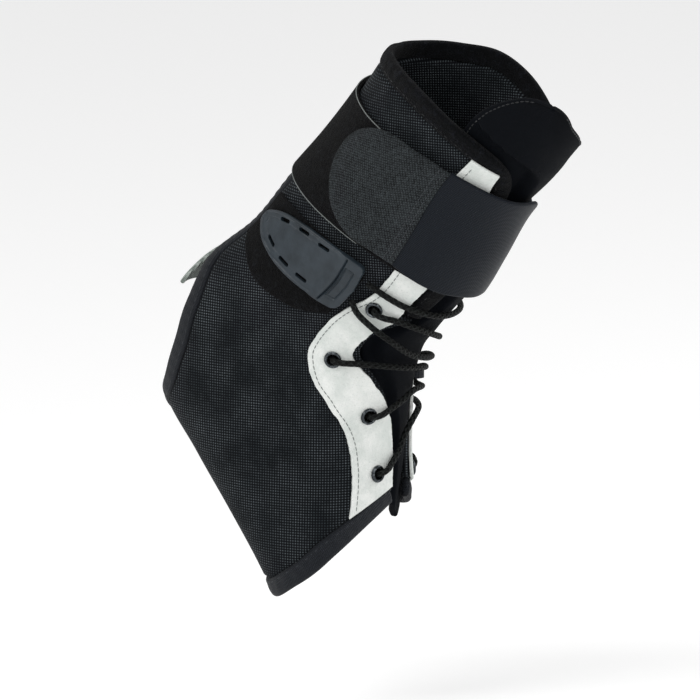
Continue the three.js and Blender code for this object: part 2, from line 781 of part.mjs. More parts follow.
function tabSpot(share, across) {
  const lean = tabLean * Math.max(0, across) * share * share;
  const turn = THREE.MathUtils.lerp(tabTipTurn, tabEndTurn, share) + lean;
  const height = THREE.MathUtils.lerp(tabTipHeight, tabEndHeight, share);
  return atHeight(turn, height + (across * tabWidth) / 2);
}

function slotDirection(row) {
  const step = slotLength / tabLength / 2;
  const from = lifted(tabSpot(row.share - step, row.across - row.splay / 2), 0);
  return lifted(tabSpot(row.share + step, row.across + row.splay / 2), 0).sub(from);
}

function laceTab() {
  const rows = tabOutline.flatMap((row, index) => {
    const next = tabOutline[index + 1];
    const parts = next ? Math.max(1, Math.round((next.share - row.share) / 0.12)) : 1;
    return shares(parts)
      .slice(0, parts)
      .map((part) => {
        const share = next ? THREE.MathUtils.lerp(row.share, next.share, part) : row.share;
        const half = lookUp(tabOutline, "share", "half", share);
        return shares(4).map((b) => ({
          ...tabSpot(share, THREE.MathUtils.lerp(-half, half, b)),
          share,
          across: 2 * b - 1,
        }));
      });
  });
  const outer = (place) => {
    const rim = tabRim * THREE.MathUtils.smoothstep(Math.abs(place.across), 0.7, 1);
    const pocket = tabPocket * THREE.MathUtils.smoothstep(place.share, 0.72, 0.82);
    return tabLift + tabWall - rim + pocket;
  };
  const blank = clothSolid(rows, tabLift, outer);
  const cutters = slotRows.map((row) => {
    const outline = new THREE.Shape();
    const straight = (slotLength - slotWidth) / 2;
    outline.absarc(straight, 0, slotWidth / 2, -Math.PI / 2, Math.PI / 2);
    outline.absarc(-straight, 0, slotWidth / 2, Math.PI / 2, (3 * Math.PI) / 2);
    const depth = 5 * tabWall;
    const slot = new THREE.ExtrudeGeometry(outline, { depth, bevelEnabled: false, curveSegments: 2 });
    return standOn(slot, tabSpot(row.share, row.across), tabLift - tabWall, slotDirection(row));
  });
  return cutAway(blank, cutters);
}

// The tongue: its middle and half width by shares of footHalf, from the toes to its round top
const tongueRows = [
  { along: 0.036, middle: -0.4, half: 0.06 },
  { along: 0.055, middle: -0.35, half: 0.18 },
  { along: 0.09, middle: -0.26, half: 0.32 },
  { along: 0.15, middle: -0.19, half: 0.38 },
  { along: 0.25, middle: -0.18, half: 0.45 },
  { along: 0.33, middle: -0.15, half: 0.54 },
  { along: 0.38, middle: -0.1, half: 0.7 },
  { along: 0.43, middle: -0.07, half: 0.77 },
  { along: 0.5, middle: -0.06, half: 0.75 },
  { along: 0.56, middle: -0.05, half: 0.7 },
  { along: 0.75, middle: -0.02, half: 0.8 },
  { along: 0.86, middle: 0.26, half: 0.92 },
  { along: 0.91, middle: 0.4, half: 0.93 },
  { along: 0.943, middle: 0.48, half: 0.81 },
  { along: 0.954, middle: 0.54, half: 0.7 },
  { along: 0.965, middle: 0.59, half: 0.58 },
  { along: 0.976, middle: 0.64, half: 0.43 },
  { along: 0.985, middle: 0.65, half: 0.31 },
  { along: 0.991, middle: 0.64, half: 0.16 },
];

// How high the tongue is crowned, and the turn beyond which it lies flat under the panels
const crownRows = [
  { along: 0.03, edge: -0.03, crown: 0.3 },
  { along: 0.12, edge: 0.03, crown: 0.6 },
  { along: 0.3, edge: 0.15, crown: 0.9 },
  { along: 0.36, edge: 0.31, crown: 0.95 },
  { along: 0.42, edge: 0.6, crown: 1.2 },
  { along: 0.5, edge: 0.58, crown: 1.4 },
  { along: 0.6, edge: 0.2, crown: 1.2 },
  { along: 0.7, edge: 0.24, crown: 1.1 },
  { along: 0.84, edge: 0.22, crown: 1.5 },
  { along: 0.88, edge: 0.24, crown: 1.75 },
  { along: 0.91, edge: 0.45, crown: 1.7 },
  { along: 0.93, edge: 1.3, crown: 1.5 },
  { along: 0.99, edge: 2.4, crown: 1.3 },
];

function sideStep(along, turn, distance) {
  const steps = 6;
  let at = turn;
  for (let step = 0; step < steps; step += 1) {
    at += distance / steps / limbSlopes(along, at).round.length();
  }
  return spot(along, at);
}

function tongueLift(place) {
  const edge = lookUp(crownRows, "along", "edge", place.along);
  const middle = lookUp(throat, "along", "middle", place.along);
  const room = (edge - middle - Math.abs(place.turn - middle)) * footHalf;
  const rise = THREE.MathUtils.smoothstep(room, tongueRiseStart, tongueRiseEnd);
  const crown = tongueCrown * lookUp(crownRows, "along", "crown", place.along);
  return crown * rise - tongueDrop;
}

function tongue() {
  const first = tongueRows[0].along;
  const last = tongueRows[tongueRows.length - 1].along;
  const ends = [0, 0.008, 0.02, 0.04];
  const body = shares(20).map((share) => THREE.MathUtils.lerp(0.065, 0.955, share));
  const rows = [...ends, ...body, 0.973, 0.986, 0.995, 1].map((share) => {
    const along = THREE.MathUtils.lerp(first, last, share);
    const middle = lookUp(tongueRows, "along", "middle", along);
    const half = footHalf * lookUp(tongueRows, "along", "half", along);
    return shares(8).map((b) => sideStep(along, middle, THREE.MathUtils.lerp(-half, half, b)));
  });
  return clothSolid(rows, (place) => tongueLift(place) - tongueWall, tongueLift);
}

// The lace. Each stretch over the brace is a short list of chosen points; the passes through
// the eyelets and the stretches under the eyestays are worked out.
const laceGap = 0.4;
const overLift = stayTopLift + laceWidth / 2 + laceGap;
const underLift = -laceWidth / 2 - 1.5 * layerGap;
const flangeTop = stayTopLift + flangeGap + flangeWall;

function eyeletPass(side, number, outward, inward, goingDown) {
  const place = eyeletSpot(side, number);
  const above = [
    { step: 0.58 * eyeletFlange, lift: flangeTop + laceWidth / 2 + laceGap },
    { step: 0.22 * eyeletFlange, lift: flangeTop + laceWidth / 2 + laceGap / 2 },
    { step: 0.05 * eyeletFlange, lift: flangeTop + laceGap },
    { step: 0, lift: panelWall },
  ];
  const below = [
    { step: 0, lift: 0.3 * panelWall },
    { step: 0.05 * eyeletFlange, lift: -0.3 * panelWall },
    { step: 0.22 * eyeletFlange, lift: underLift },
    { step: 0.53 * eyeletFlange, lift: underLift },
  ];
  const from = limbPoint(place.along, place.turn);
  const toPoint = (target) => limbPoint(target.along, target.turn).sub(from);
  const points = [
    ...above.map((row) => lifted(walk(place, toPoint(outward), row.step), row.lift)),
    ...below.map((row) => lifted(walk(place, toPoint(inward), row.step), row.lift)),
  ];
  return goingDown ? points : points.reverse();
}

function underRun(side, from, to) {
  const start = eyeletSpot(side, from);
  const end = eyeletSpot(side, to);
  return shares(7)
    .slice(2, 6)
    .map((share) => {
      const along = THREE.MathUtils.lerp(start.along, end.along, share);
      return lifted(spot(along, THREE.MathUtils.lerp(start.turn, end.turn, share)), underLift);
    });
}

const lacePoints = {
  tabToInnerTop: [
    { along: 0.628, turn: 1.09, lift: 0 },
    { along: 0.618, turn: 0.88, lift: 0.2 },
    { along: 0.607, turn: 0.65, lift: 0 },
    { along: 0.596, turn: 0.35, lift: -0.8 },
    { along: 0.588, turn: 0.05, lift: -1.3 },
    { along: 0.583, turn: -0.25, lift: -1.2 },
    { along: 0.58, turn: -0.5, lift: -0.3 },
    { along: 0.576, turn: -0.75, lift: 0.2 },
  ],
  innerToOuterTop: [
    { along: 0.43, turn: -0.8, lift: 0.4 },
    { along: 0.46, turn: -0.5, lift: 0 },
    { along: 0.495, turn: -0.2, lift: -0.4 },
    { along: 0.525, turn: 0.12, lift: -0.6 },
    { along: 0.55, turn: 0.42, lift: -0.4 },
    { along: 0.563, turn: 0.65, lift: 0.2 },
  ],
  outerToLoop: [
    { along: 0.406, turn: 0.66, lift: 0.2 },
    { along: 0.402, turn: 0.42, lift: -0.4 },
    { along: 0.395, turn: 0.15, lift: -0.8 },
    { along: 0.388, turn: -0.15, lift: -0.8 },
    { along: 0.379, turn: -0.42, lift: -0.4 },
    { along: 0.371, turn: -0.62, lift: 0 },
    { along: 0.362, turn: -0.74, lift: 0 },
    { along: 0.35, turn: -0.785, lift: 0 },
    { along: 0.338, turn: -0.74, lift: 0 },
    { along: 0.337, turn: -0.6, lift: 0.1 },
    { along: 0.345, turn: -0.4, lift: -0.3 },
    { along: 0.346, turn: -0.15, lift: -1 },
    { along: 0.329, turn: 0.1, lift: -0.7 },
    { along: 0.311, turn: 0.3, lift: 0.2 },
  ],
  outerToInnerLow: [
    { along: 0.14, turn: 0.2, lift: 0.3 },
    { along: 0.174, turn: 0.03, lift: -0.4 },
    { along: 0.218, turn: -0.14, lift: -1 },
    { along: 0.256, turn: -0.32, lift: -0.7 },
    { along: 0.28, turn: -0.52, lift: 0 },
    { along: 0.288, turn: -0.68, lift: 0.3 },
  ],
  innerLowToTab: [
    { along: 0.155, turn: -0.9, lift: 0.3 },
    { along: 0.2, turn: -1.02, lift: 0.1 },
    { along: 0.25, turn: -1.1, lift: 0 },
    { along: 0.3, turn: -1.16, lift: 0 },
    { along: 0.34, turn: -1.12, lift: 0.1 },
    { along: 0.368, turn: -0.92, lift: 0.3 },
    { along: 0.39, turn: -0.66, lift: 0.6 },
    { along: 0.405, turn: -0.36, lift: 1 },
    { along: 0.422, turn: -0.06, lift: 1.4 },
    { along: 0.455, turn: 0.24, lift: 1.4 },
    { along: 0.497, turn: 0.52, lift: 1.3 },
    { along: 0.53, turn: 0.76, lift: 1.3 },
    { along: 0.56, turn: 0.98, lift: 1.1 },
    { along: 0.58, turn: 1.09, lift: 0.3 },
  ],
};

const asSpot = (row) => spot(row.along, row.turn);
const overPoints = (rows) => rows.map((row) => lifted(asSpot(row), overLift + row.lift));

function laceRoute() {
  const { tabToInnerTop, innerToOuterTop, outerToLoop, outerToInnerLow, innerLowToTab } = lacePoints;
  const lastOf = (rows) => asSpot(rows[rows.length - 1]);
  return [
    ...overPoints(tabToInnerTop),
    ...eyeletPass(-1, 0, lastOf(tabToInnerTop), eyeletSpot(-1, 1), true),
    ...underRun(-1, 0, 1),
    ...eyeletPass(-1, 1, asSpot(innerToOuterTop[0]), eyeletSpot(-1, 0), false),
    ...overPoints(innerToOuterTop),
    ...eyeletPass(1, 0, lastOf(innerToOuterTop), eyeletSpot(1, 1), true),
    ...underRun(1, 0, 1),
    ...eyeletPass(1, 1, asSpot(outerToLoop[0]), eyeletSpot(1, 0), false),
    ...overPoints(outerToLoop),
    ...eyeletPass(1, 2, lastOf(outerToLoop), eyeletSpot(1, 3), true),
    ...underRun(1, 2, 3),
    ...eyeletPass(1, 3, asSpot(outerToInnerLow[0]), eyeletSpot(1, 2), false),
    ...overPoints(outerToInnerLow),
    ...eyeletPass(-1, 2, lastOf(outerToInnerLow), eyeletSpot(-1, 3), true),
    ...underRun(-1, 2, 3),
    ...eyeletPass(-1, 3, asSpot(innerLowToTab[0]), eyeletSpot(-1, 2), false),
    ...overPoints(innerLowToTab),
  ];
}

// A curve that is stepped evenly from point to point, so that tight bends get short steps
class SteppedCurve extends THREE.CatmullRomCurve3 {
  getPointAt(share, target) {
    return this.getPoint(share, target);
  }

  getTangentAt(share, target) {
    return this.getTangent(share, target);
  }

  getSpacedPoints(divisions) {
    return this.getPoints(divisions);
  }
}

function lace() {
  const points = laceRoute();
  const curve = new SteppedCurve(points, false, "centripetal");
  const section = new THREE.Shape();
  section.absarc(0, 0, laceWidth / 2, 0, 2 * Math.PI);
  return new THREE.ExtrudeGeometry(section, {
    steps: points.length - 1,
    extrudePath: curve,
    bevelEnabled: false,
    curveSegments: laceSides / 2,
  });
}

// A webbing loop on the inner eyestay, where the lace turns back
function laceLoop() {
  const turnSpot = asSpot(lacePoints.outerToLoop[7]);
  const halfGap = laceWidth / 2 + loopRoom;
  const height = laceWidth + loopRoom;
  const outline = new THREE.Shape();
  outline.moveTo(-halfGap - loopWall, 0);
  outline.lineTo(-halfGap, 0);
  outline.lineTo(-halfGap, height - halfGap);
  outline.absarc(0, height - halfGap, halfGap, Math.PI, 0, true);
  outline.lineTo(halfGap, 0);
  outline.lineTo(halfGap + loopWall, 0);
  outline.lineTo(halfGap + loopWall, height - halfGap);
  outline.absarc(0, height - halfGap, halfGap + loopWall, 0, Math.PI, false);
  const strip = new THREE.ExtrudeGeometry(outline, { depth: loopWidth, bevelEnabled: false, curveSegments: 8 });
  strip.translate(0, 0, -loopWidth / 2);
  strip.rotateX(Math.PI / 2);
  const across = limbSlopes(turnSpot.along, turnSpot.turn).round;
  return standOn(strip, turnSpot, stayTopLift + layerGap, across);
}

// Finishes, by kind of cloth or part
const finishes = {
  mesh: { color: 0x191d22, roughness: 0.9, metalness: 0 },
  tape: { color: 0x14171c, roughness: 0.75, metalness: 0 },
  suede: { color: 0xd5d9d6, roughness: 0.95, metalness: 0 },
  plush: { color: 0x121316, roughness: 1, metalness: 0 },
  elastic: { color: 0x20252b, roughness: 0.7, metalness: 0 },
  hook: { color: 0x272b2e, roughness: 0.8, metalness: 0 },
  satin: { color: 0x0e1116, roughness: 0.6, metalness: 0 },
  ribbed: { color: 0x9aa39d, roughness: 0.9, metalness: 0 },
  rubber: { color: 0x3c4347, roughness: 0.45, metalness: 0 },
  cord: { color: 0x101312, roughness: 0.7, metalness: 0 },
  metal: { color: 0x2a2d2f, roughness: 0.3, metalness: 0.9 },
};

const brace = new THREE.Group();
const footFrame = new THREE.Group();
footFrame.rotation.y = radians(toeDrop);
brace.add(footFrame);

function addPiece(name, geometry, finish) {
  const mesh = new THREE.Mesh(geometry, new THREE.MeshStandardMaterial(finishes[finish]));
  mesh.name = name;
  footFrame.add(mesh);
}

addPiece("side_panel_outer", panel(1), "mesh");
addPiece("side_panel_inner", panel(-1), "mesh");
addPiece("eyestay_outer", eyestay(1), "suede");
addPiece("eyestay_inner", eyestay(-1), "suede");
addPiece("collar_binding", collarBinding(), "tape");
addPiece("toe_binding", toeBinding(), "tape");
addPiece("heel_binding", heelBinding(), "tape");
addPiece("back_insert", backInsert(), "ribbed");
addPiece("loop_band", loopBand(), "plush");
addPiece("front_strap", belt(strapRows, 20, 4, strapHeight, strapWidth, strapLift, strapWall), "elastic");
addPiece("strap_end", belt(strapEndRows, 13, 5, strapHeight, strapWidth, strapLift, strapEndWall), "hook");
addPiece("tab_patch", tabPatch(), "plush");
addPiece("lace_tab", laceTab(), "rubber");
addPiece("tongue", tongue(), "satin");
addPiece("lace", lace(), "cord");
addPiece("lace_loop", laceLoop(), "tape");
for (const [side, sideName] of [[1, "outer"], [-1, "inner"]]) {
  eyelets.forEach((_, number) => {
    addPiece(`eyelet_${sideName}_${number + 1}`, eyeletShape(side, number), "metal");
  });
}

export default brace;
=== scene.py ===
import math

import bmesh
import bpy
import numpy as np
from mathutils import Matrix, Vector


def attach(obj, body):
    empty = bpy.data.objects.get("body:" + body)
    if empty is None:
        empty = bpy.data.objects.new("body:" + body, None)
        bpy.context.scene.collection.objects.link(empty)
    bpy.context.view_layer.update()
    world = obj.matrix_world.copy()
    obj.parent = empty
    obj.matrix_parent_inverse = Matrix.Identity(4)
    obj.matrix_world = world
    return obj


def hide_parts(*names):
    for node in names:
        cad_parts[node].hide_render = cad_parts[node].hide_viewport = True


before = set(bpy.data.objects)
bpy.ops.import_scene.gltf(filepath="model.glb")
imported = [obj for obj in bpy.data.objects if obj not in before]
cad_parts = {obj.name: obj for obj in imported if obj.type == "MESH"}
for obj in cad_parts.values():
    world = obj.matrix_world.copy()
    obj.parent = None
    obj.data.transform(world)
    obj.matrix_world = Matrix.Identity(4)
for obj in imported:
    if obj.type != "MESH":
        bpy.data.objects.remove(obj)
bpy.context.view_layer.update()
mm = 0.001

# Camera at the photo's angle: azimuth 35, elevation 10, long lens
view = {"azimuth": 35, "elevation": 10, "lens": 900, "sensor": 36, "frameWidth": 0.301,
        "aimRight": 0.0245, "aimUp": -0.00215}


def makeCamera():
    turn, rise = math.radians(view["azimuth"]), math.radians(view["elevation"])
    toCamera = Vector((math.sin(turn) * math.cos(rise), -math.cos(turn) * math.cos(rise), math.sin(rise)))
    right = Vector((math.cos(turn), math.sin(turn), 0))
    up = toCamera.cross(right)
    aim = right * view["aimRight"] + up * view["aimUp"]
    data = bpy.data.cameras.new("camera")
    data.lens = view["lens"]
    data.sensor_width = view["sensor"]
    camera = bpy.data.objects.new("camera", data)
    bpy.context.collection.objects.link(camera)
    camera.location = aim + toCamera * (view["frameWidth"] * view["lens"] / view["sensor"])
    camera.rotation_euler = (-toCamera).to_track_quat("-Z", "Y").to_euler()
    bpy.context.scene.camera = camera


makeCamera()
print("camera set")

# The limb that the brace fits, as in the part's source: millimetres in the foot's own frame,
# x forward along the sole, y to the inner side, z up from the sole
limb = {"toeDrop": 52, "shinBend": 102, "footReach": 104, "soleDrop": 60, "braceHeight": 156,
        "shinDepth": 42, "calfDepth": 41, "footHalf": 33, "legHalf": 30, "ridgeShift": 10}
bend = math.radians(limb["shinBend"])
legUp = np.array([math.cos(bend), 0, math.sin(bend)])
legFront = np.array([math.sin(bend), 0, -math.cos(bend)])


def onFoot(reach, drop):
    return [limb["footReach"] * reach, limb["soleDrop"] * drop]


def onLeg(height, depth):
    deep = limb["shinDepth"] if depth > 0 else limb["calfDepth"]
    point = legUp * limb["braceHeight"] * height + legFront * deep * depth
    return [point[0], point[2]]


# front, back, half the width on the outer side, the inner side's share, squareness, ridge lean
sections = [
    (onFoot(0.897, -0.334), onFoot(1.045, -1.06), 33, 0.84, 0.07, 1),
    (onFoot(0.69, -0.03), onFoot(0.7, -1.015), 33, 0.8, 0.07, 1),
    (onFoot(0.58, 0.13), onFoot(0.43, -1), 33, 0.81, 0.07, 0.9),
    (onFoot(0.49, 0.31), onFoot(0.115, -1), 32, 0.87, 0.07, 0.7),
    (onFoot(0.42, 0.49), onFoot(-0.19, -0.98), 31, 0.95, 0.06, 0.5),
    (onLeg(0.256, 1), onFoot(-0.41, -0.68), 30, 0.98, 0.04, 0.3),
    (onLeg(0.346, 1), onFoot(-0.49, -0.21), 29.1, 1, 0.03, 0.1),
    (onLeg(0.436, 1.02), onLeg(0.205, -1.07), 29.1, 1, 0.02, 0),
    (onLeg(0.538, 1.07), onLeg(0.397, -1.05), 30, 0.96, 0, 0),
    (onLeg(0.667, 1.05), onLeg(0.59, -1), 30.9, 0.88, 0, -0.25),
    (onLeg(0.833, 1), onLeg(0.795, -1), 32.1, 0.82, 0, -0.45),
    (onLeg(1.026, 1.07), onLeg(1.026, -1.07), 33, 0.79, 0, -0.5),
    (onLeg(1.25, 1.14), onLeg(1.25, -1.13), 35.1, 0.76, 0, -0.5),
]
limbRows = np.array([
    [*front, *back, half, half * inner, square, ridge * limb["ridgeShift"]]
    for front, back, half, inner, square, ridge in sections
])


def hermite(start, end, slopeStart, slopeEnd, t):
    return ((2 * t**3 - 3 * t**2 + 1) * start + (t**3 - 2 * t**2 + t) * slopeStart
            + (3 * t**2 - 2 * t**3) * end + (t**3 - t**2) * slopeEnd)


def smoothRows(rows, share):
    padded = np.vstack([2 * rows[0] - rows[1], rows, 2 * rows[-1] - rows[-2]])
    at = np.clip(share, 0, 1) * (len(rows) - 1)
    low = np.minimum(at.astype(int), len(rows) - 2)
    t = (at - low)[..., None]
    p0, p1, p2, p3 = (padded[low + k] for k in range(4))
    return hermite(p1, p2, (p2 - p0) / 2, (p3 - p1) / 2, t)


def limbPoint(along, turn):
    along, turn = np.broadcast_arrays(np.asarray(along, float), np.asarray(turn, float))
    row = smoothRows(limbRows, along)
    frontX, frontZ, backX, backZ, outer, inner, square, lean = np.moveaxis(row, -1, 0)
    swell = 1 + square * np.sin(2 * turn) ** 2
    deep = 0.5 * np.cos(turn) * swell
    half = np.where(np.sin(turn) > 0, outer, inner)
    x = (frontX + backX) / 2 + (frontX - backX) * deep
    y = -half * np.sin(turn) * swell + lean * (1 + np.cos(turn)) / 2
    z = (frontZ + backZ) / 2 + (frontZ - backZ) * deep
    return np.stack([x, y, z], axis=-1)


nudge = 0.001
lineFineness = {"spots": 481, "perLacePoint": 24}


def limbSlopes(along, turn):
    along, turn = np.broadcast_arrays(np.asarray(along, float), np.asarray(turn, float))
    span = np.minimum(1, along + nudge) - np.maximum(0, along - nudge)
    ahead = (limbPoint(along + nudge, turn) - limbPoint(along - nudge, turn)) / span[..., None]
    around = (limbPoint(along, turn + nudge) - limbPoint(along, turn - nudge)) / (2 * nudge)
    return ahead, around


def unit(vectors):
    return vectors / np.maximum(np.linalg.norm(vectors, axis=-1, keepdims=True), 1e-12)


def limbNormal(along, turn):
    return unit(np.cross(*limbSlopes(along, turn)))


def lifted(along, turn, lift):
    lift = np.asarray(lift, float)
    return limbPoint(along, turn) + limbNormal(along, turn) * lift[..., None]


def walk(along, turn, direction, distance, steps=4):
    along, turn = np.array(along, float), np.array(turn, float)
    distance = np.asarray(distance, float)[..., None]
    for _ in range(steps):
        ahead, around = limbSlopes(along, turn)
        normal = unit(np.cross(ahead, around))
        flat = direction - normal * (direction * normal).sum(-1, keepdims=True)
        flat = unit(flat) * distance / steps
        aa, ar, rr = (ahead * ahead).sum(-1), (ahead * around).sum(-1), (around * around).sum(-1)
        fa, fr = (flat * ahead).sum(-1), (flat * around).sum(-1)
        scale = aa * rr - ar * ar
        along = along + (fa * rr - fr * ar) / scale
        turn = turn + (fr * aa - fa * ar) / scale
    return along, turn


def atHeight(turn, height):
    turn, height = np.broadcast_arrays(np.asarray(turn, float), np.asarray(height, float))
    low, high = np.full(turn.shape, 0.42), np.ones(turn.shape)
    for _ in range(24):
        middle = (low + high) / 2
        below = limbPoint(middle, turn) @ legUp < height
        low, high = np.where(below, middle, low), np.where(below, high, middle)
    return (low + high) / 2


def lookUp(table, key, column, value):
    xs = np.array([row[key] for row in table], float)
    ys = np.array([row[column] for row in table], float)
    value = np.clip(np.asarray(value, float), xs[0], xs[-1])
    before, after = np.maximum(np.arange(len(xs)) - 1, 0), np.minimum(np.arange(len(xs)) + 1, len(xs) - 1)
    slope = (ys[after] - ys[before]) / (xs[after] - xs[before])
    low = np.clip(np.searchsorted(xs, value, side="left") - 1, 0, len(xs) - 2)
    width = xs[low + 1] - xs[low]
    share = (value - xs[low]) / width
    return hermite(ys[low], ys[low + 1], slope[low] * width, slope[low + 1] * width, share)


def mix(a, b, share):
    return a + (b - a) * share


def smoothStep(value, start, end):
    t = np.clip((np.asarray(value, float) - start) / (end - start), 0, 1)
    return t * t * (3 - 2 * t)


# A centripetal curve through the points, as many finer points
def throughPoints(points, count):
    padded = np.vstack([2 * points[0] - points[1], points, 2 * points[-1] - points[-2]])
    at = np.linspace(0, len(points) - 1, count)
    low = np.minimum(at.astype(int), len(points) - 2)
    p0, p1, p2, p3 = (padded[low + k] for k in range(4))
    d0, d1, d2 = (np.maximum(np.linalg.norm(b - a, axis=-1, keepdims=True), 1e-9) ** 0.5
                  for a, b in ((p0, p1), (p1, p2), (p2, p3)))
    slope1 = ((p1 - p0) / d0 - (p2 - p0) / (d0 + d1) + (p2 - p1) / d1) * d1
    slope2 = ((p2 - p1) / d1 - (p3 - p1) / (d1 + d2) + (p3 - p2) / d2) * d1
    return hermite(p1, p2, slope1, slope2, (at - low)[:, None])


# A line over the limb through (along, turn) spots, which gives the spot at a share of its length
def spotLine(spots):
    fine = throughPoints(np.array(spots, float), lineFineness["spots"])
    steps = np.linalg.norm(np.diff(limbPoint(fine[:, 0], fine[:, 1]), axis=0), axis=-1)
    reach = np.concatenate([[0], np.cumsum(steps)])

    def place(share):
        target = np.clip(np.asarray(share, float), 0, 1) * reach[-1]
        return np.interp(target, reach, fine[:, 0]), np.interp(target, reach, fine[:, 1])

    place.length = reach[-1]
    return place


def beside(line, share, distance):
    share, distance = np.broadcast_arrays(np.asarray(share, float), np.asarray(distance, float))
    step = 0.004
    tangent = limbPoint(*line(np.minimum(1, share + step))) - limbPoint(*line(np.maximum(0, share - step)))
    along, turn = line(share)
    side = np.cross(limbNormal(along, turn), tangent) * np.where(distance < 0, -1, 1)[..., None]
    return walk(along, turn, side, np.abs(distance))


# The throat down the front, for the outer side; the inner side is its mirror image about middle
throat = [dict(zip(("along", "edge", "stayIn", "stayOut", "middle"), row)) for row in (
    (0.03, -0.03, 0.08, 0.8, -0.18), (0.09, 0.03, 0.1, 0.71, -0.21), (0.15, 0.01, 0.07, 0.67, -0.23),
    (0.23, 0.07, 0.13, 0.7, -0.23), (0.33, 0.24, 0.3, 0.86, -0.18), (0.37, 0.44, 0.5, 1.0, -0.11),
    (0.41, 0.66, 0.72, 1.08, -0.08), (0.44, 0.69, 0.75, 1.09, -0.07), (0.5, 0.63, 0.7, 1.09, -0.06),
    (0.55, 0.38, 0.6, 1.06, -0.06), (0.6, 0.31, 0.6, 0.97, -0.08), (0.67, 0.29, 0.58, 0.97, -0.12),
    (0.84, 0.26, 0.55, 0.97, -0.19), (0.88, 0.26, 0.6, 0.95, -0.2))]
toeEdge = [dict(zip(("turn", 1, -1), row)) for row in (
    (0, 0.058, 0.066), (0.45, 0.039, 0.062), (0.8, 0.027, 0.06), (1.25, 0.022, 0.078),
    (1.9, 0.032, 0.092), (2.3, 0.041, 0.09), (2.7, 0.055, 0.074), (2.95, 0.062, 0.064),
    (3.14, 0.063, 0.063))]
collarOuter = [(0.3, 0.4), (0.26, 0.55), (0.24, 0.72), (0.24, 0.84), (0.3, 0.9), (0.42, 0.95),
               (0.64, 0.985), (0.95, 1), (1.3, 1), (1.75, 0.99), (2.3, 0.955), (2.8, 0.92)]
heelEdge = [(0.322, 2.9), (0.337, 2.62), (0.363, 2.41), (0.407, 2.32), (0.453, 2.38), (0.487, 2.5),
            (0.512, 2.66), (0.535, 2.82), (0.57, 2.92)]
edges = {"stayToe": 0.22, "collarBack": 0.905, "innerRise": 0.045, "insertHalf": 0.2,
         "insertLow": 0.462, "insertSpread": 0.16, "insertTop": 67, "insertHeadroom": 5,
         "collarCorner": 0.42, "soleEnd": 0.318, "tapeWidth": 8, "seamGap": 0.3}
walls = {"panel": 3.2, "stay": 1.2, "tape": 3.9, "band": 2, "bandFront": 1, "patch": 1.5, "strap": 1.7,
         "strapEnd": 2.1, "tongue": 3.4, "insert": 2, "layerGap": 0.5, "trimGap": 0.3, "stayGap": 0.4,
         "stayRoom": 0.7}


def onSide(side, along, turn):
    return turn if side > 0 else 2 * lookUp(throat, "along", "middle", along) - turn


def throatTurn(side, column, along):
    return onSide(side, along, lookUp(throat, "along", column, along))


def toeLine(side):
    start = float(throatTurn(side, "edge", toeEdge[0][side]))
    turns = np.linspace(start, side * math.pi, 17)
    return spotLine(np.stack([lookUp(toeEdge, "turn", side, np.abs(turns)), turns], axis=-1))


def collarLine(side):
    spots = []
    for outerTurn, share in collarOuter:
        shift = onSide(side, atHeight(outerTurn, limb["braceHeight"] * share), outerTurn) - side * outerTurn
        turn = side * outerTurn + shift * (1 - smoothStep(outerTurn, 0.9, 2.6))
        rise = 0 if side > 0 else edges["innerRise"] * smoothStep(share, 0.84, 0.98)
        fade = 1 - smoothStep(abs(turn), 1.6, 2.9)
        spots.append((atHeight(turn, limb["braceHeight"] * (share + rise * fade)), turn))
    spots.append((atHeight(side * math.pi, limb["braceHeight"] * edges["collarBack"]), side * math.pi))
    return spotLine(spots)


def heelLine(side):
    spots = [(edges["soleEnd"], side * math.pi)] + [(along, side * turn) for along, turn in heelEdge]
    turn = side * (math.pi - edges["insertHalf"])
    spots += [(atHeight(turn, edges["insertTop"] * share), turn) for share in (0.8, 1)]
    return spotLine(spots)


def joinLines(outer, inner):
    def whole(share):
        share = np.asarray(share, float)
        outerAlong, outerTurn = outer(np.minimum(1, share * 2))
        innerAlong, innerTurn = inner(np.minimum(1, 2 - share * 2))
        first = share < 0.5
        return np.where(first, outerAlong, innerAlong), np.where(first, outerTurn, innerTurn + 2 * math.pi)
    return whole


def joinHeel(outer, inner):
    def whole(share):
        share = np.asarray(share, float)
        outerAlong, outerTurn = outer(np.maximum(0, 1 - share * 2))
        innerAlong, innerTurn = inner(np.maximum(0, share * 2 - 1))
        first = share < 0.5
        return np.where(first, outerAlong, innerAlong), np.where(first, outerTurn, innerTurn + 2 * math.pi)
    return whole


print("limb ready")

# Mesh making


def toWorld(points):
    drop = math.radians(limb["toeDrop"])
    x = points[..., 0] * math.cos(drop) + points[..., 2] * math.sin(drop)
    z = -points[..., 0] * math.sin(drop) + points[..., 2] * math.cos(drop)
    return np.stack([x, points[..., 1], z], axis=-1) * mm


def signedVolume(points, quads):
    a, b, c, d = (points[quads[:, k]] for k in range(4))
    return (np.cross(a, b) * c).sum() + (np.cross(a, c) * d).sum()


# A piece from points in the foot's frame, four-sided faces and one uv for each point, in mm
def meshObject(name, points, quads, uv, material, smoothAngle=50):
    if signedVolume(points, quads) < 0:
        quads = quads[:, ::-1]
    mesh = bpy.data.meshes.new(name)
    mesh.from_pydata(toWorld(points).tolist(), [], quads.tolist())
    layer = mesh.uv_layers.new(name="cloth")
    layer.data.foreach_set("uv", uv[quads.ravel()].astype(np.float32).ravel())
    mesh.materials.append(material)
    mesh.shade_smooth()
    mesh.set_sharp_from_angle(angle=math.radians(smoothAngle))
    obj = bpy.data.objects.new(name, mesh)
    bpy.context.collection.objects.link(obj)
    return obj


